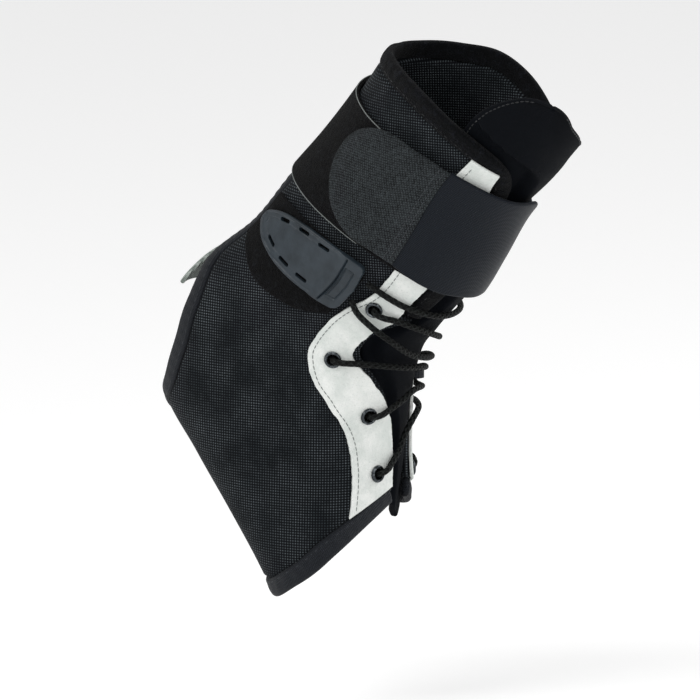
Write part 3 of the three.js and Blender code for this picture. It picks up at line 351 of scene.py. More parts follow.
# Distances over a grid of points: along its rows and across them, in mm
def gridLengths(points):
    down = np.linalg.norm(np.diff(points, axis=0), axis=-1)
    across = np.linalg.norm(np.diff(points, axis=1), axis=-1)
    u = np.concatenate([np.zeros((1, points.shape[1])), np.cumsum(down, axis=0)])
    v = np.concatenate([np.zeros((points.shape[0], 1)), np.cumsum(across, axis=1)], axis=1)
    return u, v - v[:, v.shape[1] // 2][:, None]


def edgeDistance(points, joined=()):
    u, v = gridLengths(points)
    nearEnds = [gap for end, gap in (("start", u), ("end", u[-1] - u)) if end not in joined]
    return np.minimum.reduce([*nearEnds, v - v[:, :1], v[:, -1:] - v])


def rounding(distance, radius):
    near = np.clip(radius - distance, 0, radius)
    return radius - np.sqrt(np.maximum(radius**2 - near**2, 0))


# Even shares with a few more close to both ends, for a rounded rim
def edged(count, end=0.02):
    close = end * np.array([0, 0.12, 0.35, 0.7])
    return np.concatenate([close, np.linspace(end, 1 - end, count), 1 - close[::-1]])


# A wall of cloth between two lifts over a grid of spots, with rounded rims
def clothPiece(name, along, turn, low, high, material, rim=0.0, joined=(), smoothAngle=50, flatUv=None):
    base = limbPoint(along, turn)
    normal = limbNormal(along, turn)
    low, high = (np.broadcast_to(np.asarray(lift, float), base.shape[:2]) for lift in (low, high))
    drop = rounding(edgeDistance(base, joined), rim) if rim > 0 else 0
    outer = base + normal * (high - drop)[..., None]
    inner = base + normal * (low + np.minimum(drop, (high - low) * 0.45))[..., None]
    uv = np.stack(gridLengths(outer), axis=-1) if flatUv is None else outer @ flatUv
    obj = closedGrid(name, outer, inner, uv, material, smoothAngle)
    return obj


def closedGrid(name, outer, inner, uv, material, smoothAngle=50):
    rows, columns = outer.shape[:2]
    at = np.arange(rows * columns).reshape(rows, columns)
    under = at + rows * columns

    def strip(a, b, c, d):
        return np.stack([x.ravel() for x in (a, b, c, d)], axis=-1)

    quads = np.concatenate([
        strip(at[:-1, :-1], at[1:, :-1], at[1:, 1:], at[:-1, 1:]),
        strip(under[:-1, :-1], under[:-1, 1:], under[1:, 1:], under[1:, :-1]),
        strip(at[:-1, 0], under[:-1, 0], under[1:, 0], at[1:, 0]),
        strip(at[:-1, -1], at[1:, -1], under[1:, -1], under[:-1, -1]),
        strip(at[0, :-1], at[0, 1:], under[0, 1:], under[0, :-1]),
        strip(at[-1, :-1], under[-1, :-1], under[-1, 1:], at[-1, 1:]),
    ])
    points = np.concatenate([outer.reshape(-1, 3), inner.reshape(-1, 3)])
    flat = uv.reshape(-1, 2)
    return meshObject(name, points, quads, np.concatenate([flat, flat]), material, smoothAngle)


def place(obj, *nodes, slotName=None):
    if nodes:
        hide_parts(*nodes)
    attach(obj, "root")
    return obj


# Materials


def addNode(tree, kind, inputs=None, **settings):
    node = tree.nodes.new(kind)
    for key, value in settings.items():
        setattr(node, key, value)
    for key, value in (inputs or {}).items():
        if isinstance(value, bpy.types.NodeSocket):
            tree.links.new(value, node.inputs[key])
        else:
            node.inputs[key].default_value = value
    return node


def startMaterial(name, color, rough, sheen=0.0, sheenTint=(1, 1, 1, 1), metal=0.0, specular=0.5):
    material = bpy.data.materials.new(name)
    material.use_nodes = True
    tree = material.node_tree
    shader = tree.nodes["Principled BSDF"]
    shader.inputs["Base Color"].default_value = (*color, 1)
    shader.inputs["Roughness"].default_value = rough
    shader.inputs["Metallic"].default_value = metal
    shader.inputs["Specular IOR Level"].default_value = specular
    shader.inputs["Sheen Weight"].default_value = sheen
    shader.inputs["Sheen Tint"].default_value = sheenTint
    shader.inputs["Sheen Roughness"].default_value = 0.5
    material.diffuse_color = (*color, 1)
    return material, tree, shader


def linear(hexText):
    values = [int(hexText[k:k + 2], 16) / 255 for k in (1, 3, 5)]
    return tuple(v / 12.92 if v <= 0.04045 else ((v + 0.055) / 1.055) ** 2.4 for v in values)


def mathNode(tree, operation, first, second=None):
    inputs = {0: first}
    if second is not None:
        inputs[1] = second
    return addNode(tree, "ShaderNodeMath", inputs, operation=operation).outputs[0]


# Waves across the cloth's own uv, which is in millimetres
def clothAxes(tree, pitchU, pitchV, angle=0.0):
    uv = addNode(tree, "ShaderNodeUVMap", uv_map="cloth").outputs[0]
    turned = addNode(tree, "ShaderNodeMapping", {"Vector": uv, "Rotation": (0, 0, angle),
                                                 "Scale": (1 / pitchU, 1 / pitchV, 1)}).outputs[0]
    parts = addNode(tree, "ShaderNodeSeparateXYZ", {0: turned})
    waves = []
    for k in range(2):
        turnedOnce = mathNode(tree, "MULTIPLY", parts.outputs[k], 2 * math.pi)
        waves.append(mathNode(tree, "SINE", turnedOnce))
    return waves


def noiseNode(tree, scale, detail=3.0, rough=0.6, vector=None):
    source = vector or addNode(tree, "ShaderNodeTexCoord").outputs["Object"]
    return addNode(tree, "ShaderNodeTexNoise", {"Vector": source, "Scale": scale, "Detail": detail,
                                                "Roughness": rough}).outputs["Fac"]


def colorMix(tree, share, first, second):
    node = addNode(tree, "ShaderNodeMix", data_type="RGBA")
    for value, socket in ((share, node.inputs[0]), (first, node.inputs[6]), (second, node.inputs[7])):
        if isinstance(value, bpy.types.NodeSocket):
            tree.links.new(value, socket)
        else:
            socket.default_value = value
    return node.outputs[2]


# Two tones by a share, on the shader's base colour
def twoTones(tree, shader, share, first, second):
    mixed = colorMix(tree, share, (*first, 1), (*second, 1))
    tree.links.new(mixed, shader.inputs["Base Color"])


def remap(tree, value, fromLow, fromHigh, toLow=0.0, toHigh=1.0):
    inputs = {0: value, 1: fromLow, 2: fromHigh, 3: toLow, 4: toHigh}
    return addNode(tree, "ShaderNodeMapRange", inputs).outputs[0]


def finishBump(tree, shader, height, distance, strength=1.0):
    bump = addNode(tree, "ShaderNodeBump", {"Strength": strength, "Distance": distance, "Height": height})
    tree.links.new(bump.outputs[0], shader.inputs["Normal"])


# A wave from -1 to 1 as narrow ridges from 0 to 1
def raised(tree, wave, power):
    half = mathNode(tree, "MULTIPLY_ADD", wave, 0.5)
    half.node.inputs[2].default_value = 0.5
    return mathNode(tree, "POWER", half, power)


# Open mesh: a square grid of thread crossings over near-black, the crossings painted light as highlights
def meshClothMaterial():
    settings = {"pitch": 1.16, "dark": linear("#0a0c0f"), "thread": linear("#737b80"),
                "patchyTone": linear("#3b4246")}
    material, tree, shader = startMaterial("mesh_cloth", settings["thread"], 0.8, 0.02, specular=0.06)
    waveU, waveV = clothAxes(tree, settings["pitch"], settings["pitch"])
    ridgeU, ridgeV = raised(tree, waveU, 1.6), raised(tree, waveV, 1.6)
    crossing = mathNode(tree, "MULTIPLY", ridgeU, ridgeV)
    threads = mathNode(tree, "MULTIPLY", mathNode(tree, "MAXIMUM", ridgeU, ridgeV), 0.12)
    soft = remap(tree, mathNode(tree, "ADD", crossing, threads), 0.1, 1.1)
    patches = remap(tree, noiseNode(tree, 55, 3), 0.35, 0.68)
    grain = remap(tree, noiseNode(tree, 900, 2), 0.3, 0.7, 0.45, 1)
    # Painted highlight on the crossings: dimmer in some noise patches, brighter in others
    threadColor = colorMix(tree, patches, (*settings["patchyTone"], 1), (*settings["thread"], 1))
    lit = mathNode(tree, "MULTIPLY", soft, grain)
    tree.links.new(colorMix(tree, lit, (*settings["dark"], 1), threadColor), shader.inputs["Base Color"])
    finishBump(tree, shader, crossing, 0.00025)
    return material


def plushMaterial(name, color, tip):
    material, tree, shader = startMaterial(name, linear(color), 0.95, 0.04, specular=0.05)
    fine = noiseNode(tree, 1500, 3, 0.75)
    coarse = noiseNode(tree, 260, 3, 0.65)
    lit = remap(tree, mathNode(tree, "MULTIPLY", fine, coarse), 0.26, 0.42)
    twoTones(tree, shader, lit, linear(color), linear(tip))
    finishBump(tree, shader, mathNode(tree, "ADD", fine, coarse), 0.0009)
    return material


def suedeMaterial():
    settings = {"base": linear("#ced3cf"), "pale": linear("#e2e4e1"), "dirt": linear("#b9bfbb")}
    material, tree, shader = startMaterial("suede", settings["base"], 0.95, 0.05, specular=0.1)
    cloudy = remap(tree, noiseNode(tree, 90, 4, 0.65), 0.38, 0.64)
    fine = noiseNode(tree, 1400, 3, 0.7)
    tone = colorMix(tree, cloudy, (*settings["base"], 1), (*settings["pale"], 1))
    specks = remap(tree, fine, 0.56, 0.75, 0, 0.8)
    tree.links.new(colorMix(tree, specks, tone, (*settings["dirt"], 1)), shader.inputs["Base Color"])
    finishBump(tree, shader, fine, 0.00035)
    return material


# Woven binding tape: fine ribs across its length
def tapeMaterial():
    settings = {"rib": 0.8, "base": linear("#12151a"), "lit": linear("#232830")}
    material, tree, shader = startMaterial("binding_tape", settings["base"], 0.62, 0.02, specular=0.2)
    waveU, waveV = clothAxes(tree, settings["rib"], settings["rib"] * 1.6)
    weave = mathNode(tree, "ADD", waveU, mathNode(tree, "MULTIPLY", waveV, 0.5))
    lit = remap(tree, mathNode(tree, "ADD", weave, noiseNode(tree, 300, 2)), 0.4, 1.9, 0, 0.8)
    twoTones(tree, shader, lit, settings["base"], settings["lit"])
    finishBump(tree, shader, weave, 0.00016)
    return material


# Smooth elastic with close ribs along the strap
def strapMaterial():
    settings = {"rib": 0.8, "base": linear("#080c12"), "lit": linear("#131a23")}
    material, tree, shader = startMaterial("strap_elastic", settings["base"], 0.5, 0.05, specular=0.12)
    shader.inputs["Sheen Roughness"].default_value = 0.3
    waveU, waveV = clothAxes(tree, settings["rib"] * 1.3, settings["rib"])
    weave = mathNode(tree, "ADD", mathNode(tree, "MULTIPLY", waveU, 0.4), waveV)
    lit = remap(tree, mathNode(tree, "ADD", weave, noiseNode(tree, 600, 2)), -0.6, 1.9, 0, 0.8)
    twoTones(tree, shader, lit, settings["base"], settings["lit"])
    finishBump(tree, shader, weave, 0.00006)
    return material


# Knurled hook cloth: uneven light specks in slanting rows
def hookMaterial():
    settings = {"pitch": 1.25, "base": linear("#0d0f11"), "lit": linear("#4d5457")}
    material, tree, shader = startMaterial("hook_cloth", settings["base"], 0.75, 0.03, specular=0.1)
    waveU, waveV = clothAxes(tree, settings["pitch"], settings["pitch"] * 0.85, math.radians(33))
    knots = mathNode(tree, "MULTIPLY", raised(tree, waveU, 1.3), raised(tree, waveV, 1.3))
    grain = noiseNode(tree, 1000, 2, 0.7)
    cloudy = noiseNode(tree, 120, 2)
    raisedParts = mathNode(tree, "ADD", mathNode(tree, "ADD", mathNode(tree, "MULTIPLY", knots, 0.55), grain),
                    mathNode(tree, "MULTIPLY", cloudy, 0.3))
    lit = remap(tree, raisedParts, 0.55, 1.35, 0, 0.75)
    twoTones(tree, shader, lit, settings["base"], settings["lit"])
    finishBump(tree, shader, mathNode(tree, "ADD", knots, grain), 0.0003)
    return material


def tongueMaterial():
    settings = {"pitch": 0.7, "base": linear("#040609"), "lit": linear("#0b0e14")}
    material, tree, shader = startMaterial("tongue_cloth", settings["base"], 0.75, 0.01, specular=0.05)
    waveU, waveV = clothAxes(tree, settings["pitch"], settings["pitch"])
    weave = mathNode(tree, "MULTIPLY", waveU, waveV)
    lit = remap(tree, mathNode(tree, "ADD", weave, noiseNode(tree, 70, 3)), 0, 1.4)
    twoTones(tree, shader, lit, settings["base"], settings["lit"])
    finishBump(tree, shader, weave, 0.00008)
    return material


def rubberMaterial():
    settings = {"base": linear("#1e262c"), "pale": linear("#2c353c")}
    material, tree, shader = startMaterial("tab_rubber", settings["base"], 0.42, specular=0.35)
    cloudy = remap(tree, noiseNode(tree, 120, 3), 0.35, 0.7)
    twoTones(tree, shader, cloudy, settings["base"], settings["pale"])
    rough = remap(tree, noiseNode(tree, 400, 3), 0.3, 0.7, 0.34, 0.52)
    tree.links.new(rough, shader.inputs["Roughness"])
    finishBump(tree, shader, noiseNode(tree, 1600, 2), 0.00006)
    return material


# Braided cord: two sets of strands crossing on the cord's own uv, u round it and v along it
def laceMaterial():
    settings = {"base": linear("#050606"), "lit": linear("#2c312f")}
    material, tree, shader = startMaterial("lace_cord", settings["base"], 0.6, 0.01, specular=0.12)
    uv = addNode(tree, "ShaderNodeUVMap", uv_map="cloth").outputs[0]
    parts = addNode(tree, "ShaderNodeSeparateXYZ", {0: uv})
    strands = []
    for lean in (1, -1):
        slant = mathNode(tree, "ADD", parts.outputs[0], mathNode(tree, "MULTIPLY", parts.outputs[1], lean))
        strands.append(mathNode(tree, "SINE", mathNode(tree, "MULTIPLY", slant, 2 * math.pi)))
    braid = mathNode(tree, "MAXIMUM", *strands)
    lit = remap(tree, mathNode(tree, "MULTIPLY", braid, noiseNode(tree, 800, 2)), 0.36, 0.66, 0, 0.8)
    twoTones(tree, shader, lit, settings["base"], settings["lit"])
    finishBump(tree, shader, braid, 0.00025)
    return material


def ribbedMaterial():
    settings = {"rib": 1.3, "base": linear("#7f8983"), "lit": linear("#b4bcb6")}
    material, tree, shader = startMaterial("ribbed_elastic", settings["lit"], 0.85, 0.2, specular=0.2)
    waveU, waveV = clothAxes(tree, settings["rib"], settings["rib"])
    lit = remap(tree, waveV, -1, 1)
    twoTones(tree, shader, lit, settings["base"], settings["lit"])
    finishBump(tree, shader, mathNode(tree, "ADD", waveV, mathNode(tree, "MULTIPLY", waveU, 0.3)), 0.0003)
    return material


def metalMaterial():
    settings = {"base": linear("#3a3e41"), "patchyTone": linear("#8d9397")}
    material, tree, shader = startMaterial("eyelet_metal", settings["base"], 0.3, metal=0.9)
    # Painted glints: noise patches of a much brighter metal colour, a little rougher, stand in for the bright rim
    # highlights
    patchyTone = remap(tree, noiseNode(tree, 500, 3), 0.5, 0.72)
    twoTones(tree, shader, patchyTone, settings["base"], settings["patchyTone"])
    tree.links.new(remap(tree, patchyTone, 0, 1, 0.22, 0.4), shader.inputs["Roughness"])
    return material


def threadMaterial(name, color):
    material, tree, shader = startMaterial(name, linear(color), 0.7, 0.2, specular=0.3)
    finishBump(tree, shader, noiseNode(tree, 3000, 2), 0.00008)
    return material


finishes = {
    "mesh": meshClothMaterial(),
    "plush": plushMaterial("loop_plush", "#030304", "#15171a"),
    "collar": plushMaterial("collar_plush", "#07080a", "#181a20"),
    "suede": suedeMaterial(),
    "tape": tapeMaterial(),
    "strap": strapMaterial(),
    "hook": hookMaterial(),
    "tongue": tongueMaterial(),
    "rubber": rubberMaterial(),
    "lace": laceMaterial(),
    "ribbed": ribbedMaterial(),
    "metal": metalMaterial(),
    "greyThread": threadMaterial("grey_thread", "#6d7270"),
    "darkThread": threadMaterial("dark_thread", "#25292e"),
    "blackThread": threadMaterial("black_thread", "#0f1114"),
}
print("materials ready")

# Pieces

eyelets = [(0.57, 0.86), (0.407, 0.88), (0.293, 0.49), (0.12, 0.37)]
eyelet = {"bore": 4.6, "barrel": 5.6, "flange": 7.6, "flangeWall": 0.6, "flangeGap": 0.2, "foot": -0.3,
          "barrelRoom": 0.25, "sides": 40, "cutReach": 12, "boreRise": 0.2, "curlFoot": 0.25, "curl": 0.85,
          "lip": 0.1, "flangeSeat": 0.45}
stayFoot = walls["panel"] + walls["stayGap"]
stayTopLift = walls["panel"] + walls["stayRoom"] + walls["stay"]


def eyeletSpot(side, number):
    along, turn = eyelets[number]
    return along, float(onSide(side, along, turn))


# Points drawn with z out from the limb and x in the given direction, set on the limb
def standOn(points, along, turn, lift, direction):
    out = limbNormal(along, turn)
    ahead = unit(direction - out * (direction @ out))
    side = np.cross(out, ahead)
    return lifted(along, turn, lift) + points @ np.stack([ahead, side, out])


# Each hole is a pair of outlines in the foot's frame, its low and its high end
def cutHoles(obj, holes):
    cutter = bmesh.new()
    for ends in holes:
        rims = [[cutter.verts.new(point) for point in toWorld(outline)] for outline in ends]
        cutter.faces.new(rims[0][::-1])
        cutter.faces.new(rims[1])
        for k in range(len(rims[0])):
            n = (k + 1) % len(rims[0])
            cutter.faces.new([rims[0][k], rims[0][n], rims[1][n], rims[1][k]])
    bmesh.ops.recalc_face_normals(cutter, faces=cutter.faces)
    mesh = bpy.data.meshes.new("cutter")
    cutter.to_mesh(mesh)
    cutter.free()
    tool = bpy.data.objects.new("cutter", mesh)
    bpy.context.collection.objects.link(tool)
    modifier = obj.modifiers.new("holes", "BOOLEAN")
    modifier.operation = "DIFFERENCE"
    modifier.solver = "EXACT"
    modifier.object = tool
    bakeModifiers(obj)
    bpy.data.objects.remove(tool)


def cutEyelets(obj, side):
    radius = eyelet["barrel"] / 2 + eyelet["barrelRoom"]
    angles = np.linspace(0, 2 * math.pi, eyelet["sides"], endpoint=False)
    ring = np.stack([radius * np.cos(angles), radius * np.sin(angles), np.zeros_like(angles)], axis=-1)
    holes = []
    for number in range(len(eyelets)):
        along, turn = eyeletSpot(side, number)
        ahead, _ = limbSlopes(along, turn)
        holes.append([standOn(ring + [0, 0, z], along, turn, 0, ahead)
                      for z in (-eyelet["cutReach"], eyelet["cutReach"])])
    cutHoles(obj, holes)


def bakeModifiers(obj):
    evaluated = obj.evaluated_get(bpy.context.evaluated_depsgraph_get())
    mesh = bpy.data.meshes.new_from_object(evaluated)
    obj.modifiers.clear()
    obj.data = mesh


# the mesh's weave lies flat over the side: its rows level as worn, its columns upright
panel = {"rows": 150, "columns": 54, "weaveTurn": 24, "rim": 1.2, "fill": 0.4}


def coonsPatch(front, back, bottom, top, rows, columns):
    a, b = np.meshgrid(rows, columns, indexing="ij")

    def both(line, share):
        return np.stack(line(share), axis=-1)

    def blend(one, two, share):
        return one + (two - one) * share[..., None]

    across = blend(both(front, a), both(back, a), b)
    up = blend(both(bottom, b), both(top, b), a)
    ends = [np.broadcast_to(np.stack(line(share), axis=-1), a.shape + (2,))
            for line, share in ((front, 0.0), (back, 0.0), (front, 1.0), (back, 1.0))]
    corners = blend(blend(ends[0], ends[1], b), blend(ends[2], ends[3], b), a)
    grid = across + up - corners
    return grid[..., 0], grid[..., 1]


def panelSpots(side):
    collar, toe, heel = collarLine(side), toeLine(side), heelLine(side)
    seam = side * (math.pi - 0.004)
    inset = edges["tapeWidth"] + edges["seamGap"]
    low = beside(toe, 0.0, -side * inset)
    high = beside(collar, 0.0, side * inset)
    alongs = np.linspace(low[0], high[0], 30)[1:-1]
    collarFirst = beside(collar, np.linspace(0, edges["collarCorner"], 16), side * inset)
    frontSpots = np.concatenate([[low], np.stack([alongs, throatTurn(side, "edge", alongs)], axis=-1),
                                 np.stack(collarFirst, axis=-1)])
    top = np.stack(beside(collar, np.linspace(edges["collarCorner"], 1, 17), side * inset), axis=-1)
    top[-1, 1] = seam
    bottom = np.stack(beside(toe, np.linspace(0, 1, 17), -side * inset), axis=-1)
    bottom[-1, 1] = seam
    heelSpots = np.stack(beside(heel, np.linspace(0, 1, 40), -side * inset), axis=-1)
    heelSpots = heelSpots[np.abs(heelSpots[:, 1]) < abs(seam)]
    topTurn = heelSpots[-1, 1]
    extra = [(atHeight(topTurn, edges["insertTop"] + edges["insertHeadroom"] * 0.7), topTurn)]
    soleShares = np.array([0, 0.25, 0.5, 0.75, 0.96, 1])
    sole = np.stack([mix(bottom[-1, 0], heelSpots[0, 0] - 0.006, soleShares), np.full(6, seam)], axis=-1)
    calfLow = atHeight(seam, edges["insertTop"] + edges["insertHeadroom"])
    calf = np.stack([np.linspace(calfLow, top[-1, 0], 7), np.full(7, seam)], axis=-1)
    back = np.concatenate([sole, heelSpots, extra, calf])
    rows, columns = np.linspace(0, 1, panel["rows"]), np.linspace(0, 1, panel["columns"])
    return coonsPatch(spotLine(frontSpots), spotLine(back), spotLine(bottom), spotLine(top), rows, columns)


def makePanels():
    drop, lean = math.radians(limb["toeDrop"]), math.radians(panel["weaveTurn"])
    weave = np.array([[math.cos(drop) * math.cos(lean), -math.sin(drop)],
                      [math.sin(lean), 0],
                      [math.sin(drop) * math.cos(lean), math.cos(drop)]])
    for side, name in ((1, "outer"), (-1, "inner")):
        along, turn = panelSpots(side)
        obj = clothPiece(f"panel_{name}", along, turn, 0.0, walls["panel"], finishes["mesh"],
                         rim=panel["rim"], flatUv=weave)
        cutEyelets(obj, side)
        place(obj, f"side_panel_{name}", slotName="mesh_cloth")


makePanels()
print("panels made")

stay = {"rows": 260, "columns": 22, "ragged": 0.3, "stitchInset": 2.4, "top": 0.889, "seed": 7}


def staySpots(side, rows, columns, ragged=0.0):
    toe = toeLine(side)
    rng = np.random.RandomState(stay["seed"] + side)
    lowEnd = beside(toe, edges["stayToe"] * columns, -side * (edges["tapeWidth"] + 2 * edges["seamGap"]))[0]
    a, b = np.meshgrid(rows, columns, indexing="ij")
    along = mix(lowEnd[None, :], stay["top"], a)
    start = throatTurn(side, "stayIn", along)
    end = throatTurn(side, "stayOut", along)
    turn = mix(start, end, b)
    if ragged > 0:
        jitter = rng.normal(0, ragged / limb["legHalf"], (len(rows) + 4, 2))
        jitter = sum(jitter[k:len(rows) + k] for k in range(5)) / 5
        turn = turn + side * (jitter[:, :1] * (1 - b) ** 6 + 0.5 * jitter[:, 1:] * b**6)
    return along, turn


def makeStays():
    for side, name in ((1, "outer"), (-1, "inner")):
        along, turn = staySpots(side, edged(stay["rows"], 0.01), edged(stay["columns"], 0.04), stay["ragged"])
        obj = clothPiece(f"suede_{name}", along, turn, stayFoot, stayTopLift, finishes["suede"], rim=0.4)
        cutEyelets(obj, side)
        place(obj, f"eyestay_{name}", slotName="suede")


makeStays()
print("eyestays made")

# the tapes reach a little over the panels' edges, so that no light shows through the seams
tape = {"columns": 16, "collarRows": 420, "toeRows": 260, "heelRows": 420, "rim": 1.6, "pucker": 0.12,
        "puckerTurn": 0.9, "crown": 0.5, "over": 0.6, "fill": 0.5}


def makeTape(name, line, rows, sideSign, node, material):
    shares = np.linspace(0, 1, rows)
    across = edged(tape["columns"], 0.08)
    width = edges["tapeWidth"] + tape["over"]
    along, turn = beside(line, shares[:, None], sideSign * np.maximum(across * width, 1e-6)[None, :])
    waves = np.sin(shares * rows * tape["puckerTurn"])[:, None]
    pucker = tape["pucker"] * waves * np.sin(math.pi * across)[None, :] ** 2
    crown = tape["crown"] * (1 - np.sin(math.pi * across)[None, :])
    obj = clothPiece(name, along, turn, 0.0, walls["tape"] + pucker - crown, material, rim=tape["rim"])
    return place(obj, node, slotName="binding_tape")


def makeTapes():
    makeTape("collar_tape", joinLines(collarLine(1), collarLine(-1)), tape["collarRows"], 1, "collar_binding",
             finishes["collar"])
    makeTape("toe_tape", joinLines(toeLine(1), toeLine(-1)), tape["toeRows"], -1, "toe_binding",
             finishes["tape"])
    makeTape("heel_tape", joinHeel(heelLine(1), heelLine(-1)), tape["heelRows"], 1, "heel_binding",
             finishes["tape"])


makeTapes()
print("tapes made")

insert = {"rows": 60, "columns": 24, "flare": 2.5}


def makeInsert():
    a, b = np.meshgrid(edged(insert["rows"]), edged(insert["columns"]), indexing="ij")
    high = atHeight(math.pi, edges["insertTop"])
    along = mix(edges["insertLow"], high, a)
    half = edges["insertHalf"] - 0.015 + edges["insertSpread"] * (1 - smoothStep(a, 0, 0.45))
    turn = math.pi + mix(-half, half, b)
    flare = insert["flare"] * (1 - smoothStep(a, 0, 0.55))
    obj = clothPiece("heel_elastic", along, turn, flare, flare + walls["insert"], finishes["ribbed"], rim=0.7)
    place(obj, "back_insert", slotName="ribbed_elastic")


makeInsert()

bandLift = walls["panel"] + walls["layerGap"]
bandFrontLift = stayTopLift + walls["trimGap"]
strapLift = bandFrontLift + walls["bandFront"] + walls["trimGap"]
belts = {"bandHeight": 100, "bandWidth": 52, "strapHeight": 111, "strapWidth": 50, "stepStart": 1.16,
         "stepEnd": 1.36, "seamTurn": 1.07}
beltColumns = ("turn", "middle", "width")
bandRows = [dict(zip(beltColumns, row)) for row in (
    (0.46, 1.039, 0.81), (0.9, 1.039, 0.82), (1.17, 1.055, 0.93), (1.6, 1.04, 1), (2.2, 0.98, 1),
    (2.7, 0.94, 1), (3.14, 0.94, 1), (3.9, 0.98, 1), (4.8, 1.01, 1))]
strapRows = [dict(zip(beltColumns, row)) for row in (
    (-1.85, 0.914, 0.98), (-0.7, 0.923, 0.98), (-0.4, 0.95, 0.96), (-0.2, 0.991, 1.06), (-0.05, 1.014, 1.14),
    (0.25, 1.016, 1.13), (0.5, 1.014, 1.15), (0.8, 1.014, 1.14), (1.019, 1.014, 1.1))]
strapEndRows = [dict(zip(beltColumns, row)) for row in (
    (1.021, 1.012, 1.08), (1.25, 1, 1.08), (1.45, 0.98, 1.08), (1.65, 0.972, 1.02), (1.82, 0.968, 0.88),
    (1.95, 0.966, 0.68), (2.04, 0.965, 0.46), (2.09, 0.965, 0.24), (2.105, 0.965, 0.04))]


# Middle and half width of a belt at some turns
def beltSpan(table, height, width, turns):
    middle = height * lookUp(table, "turn", "middle", turns)
    return middle, width * lookUp(table, "turn", "width", turns) / 2


def makeBelt(name, node, slotName, table, rows, columns, height, width, low, wall, material, rim,
             joined=()):
    turns = mix(table[0]["turn"], table[-1]["turn"], rows)
    middle, half = beltSpan(table, height, width, turns)
    turn = np.broadcast_to(turns[:, None], (len(rows), len(columns)))
    along = atHeight(turn, mix((middle - half)[:, None], (middle + half)[:, None], columns[None, :]))
    if node == "loop_band":
        onStay = smoothStep(belts["stepEnd"] - turn, 0, belts["stepEnd"] - belts["stepStart"])
        low, wall = mix(low, bandFrontLift, onStay), mix(wall, walls["bandFront"], onStay)
    obj = clothPiece(name, along, turn, low, low + wall, material, rim=rim, joined=joined)
    return place(obj, node, slotName=slotName)


def makeBelts():
    rows, columns = edged(170, 0.01), edged(36, 0.04)
    makeBelt("plush_band", "loop_band", "loop_plush", bandRows, rows, columns, belts["bandHeight"],
             belts["bandWidth"], bandLift, walls["band"], finishes["plush"], 0.7)
    makeBelt("shin_strap", "front_strap", "strap_elastic", strapRows, rows, columns, belts["strapHeight"],
             belts["strapWidth"], strapLift, walls["strap"], finishes["strap"], 0.7,
             ("end",))
    tipRows = np.concatenate([[0, 0.0008, 0.002], np.linspace(0.005, 0.9, 70),
                              1 - 0.1 * np.linspace(0.98, 0, 20) ** 2])
    makeBelt("hook_end", "strap_end", "hook_cloth", strapEndRows, tipRows, edged(40, 0.05),
             belts["strapHeight"], belts["strapWidth"], strapLift, walls["strapEnd"], finishes["hook"], 0.9,
             ("start",))


makeBelts()
print("band and strap made")

patchColumns = ("turn", "low", "high")
patchTable = [dict(zip(patchColumns, row)) for row in (
    (1.14, 1.45, 0.68), (1.36, 1.15, 0.69), (1.6, 1, 0.7), (1.9, 0.9, 0.67), (2.25, 0.98, 0.63),
    (2.55, 1.1, 0.59))]
patch = {"foot": 30, "rows": 90, "columns": 50}


def makePatch():
    turns = mix(patchTable[0]["turn"], patchTable[-1]["turn"], edged(patch["rows"], 0.03))
    low = patch["foot"] * lookUp(patchTable, "turn", "low", turns)
    high = belts["bandHeight"] * lookUp(patchTable, "turn", "high", turns)
    columns = edged(patch["columns"], 0.04)
    turn = np.broadcast_to(turns[:, None], (len(turns), len(columns)))
    along = atHeight(turn, mix(low[:, None], high[:, None], columns[None, :]))
    obj = clothPiece("plush_patch", along, turn, bandLift, bandLift + walls["patch"], finishes["plush"],
                     rim=0.7)
    place(obj, "tab_patch", slotName="loop_plush")


makePatch()

tab = {"length": 57.5, "tipHeight": 0.313, "endTurn": 1.13, "endHeight": 0.396, "lean": 0.06, "width": 27,
       "wall": 2.2, "pocket": 0.9, "rimWall": 0.45, "slotLength": 6.6, "slotWidth": 1.8, "cutBelow": 2,
       "cutAbove": 8}
# Its relief. A pair is where a step starts and ends, in shares of length or width, or in mm from the edge
tabRelief = {"rimStep": (1.1, 1.6), "block": (0.74, 0.83), "contour": 0.22, "contourInset": 4.1,
             "contourWidth": 0.3, "contourFade": (0.7, 0.76), "groove": 1.1, "grooveShare": 0.851,
             "grooveWidth": 0.007, "grooveRim": (0.6, 1.2), "windowStart": (0.864, 0.869),
             "windowEnd": (0.941, 0.946), "windowSide": (0.63, 0.66), "windowDepth": 0.75,
             "floorStart": (0.875, 0.882), "floorEnd": (0.928, 0.935), "floorSide": (0.55, 0.59),
             "floorRise": 0.35}
tabLift = bandLift + walls["patch"] + walls["layerGap"]
tabOutline = [dict(zip(("share", "half"), row)) for row in (
    (0, 0.02), (0.004, 0.13), (0.02, 0.25), (0.06, 0.38), (0.12, 0.54), (0.2, 0.69), (0.33, 0.84),
    (0.45, 0.94), (0.62, 1), (0.8, 1), (0.94, 0.97), (0.985, 0.9), (1, 0.74))]
tabSlots = [(0.236, 0.5, 0.14), (0.437, 0.72, 0.06), (0.64, 0.74, 0.02), (0.256, -0.41, -0.14),
            (0.455, -0.63, -0.06), (0.645, -0.68, -0.02)]


def sideStep(along, turn, distance):
    for _ in range(6):
        _, around = limbSlopes(along, turn)
        turn = turn + distance / 6 / np.linalg.norm(around, axis=-1)
    return turn


tabFoot, tabHead = limb["braceHeight"] * tab["tipHeight"], limb["braceHeight"] * tab["endHeight"]
tabTipTurn = float(sideStep(atHeight(tab["endTurn"], tabHead), tab["endTurn"], tab["length"]))


def tabSpot(share, across):
    turn = mix(tabTipTurn, tab["endTurn"], share) + tab["lean"] * np.maximum(0, across) * share**2
    return atHeight(turn, mix(tabFoot, tabHead, share) + across * tab["width"] / 2), turn


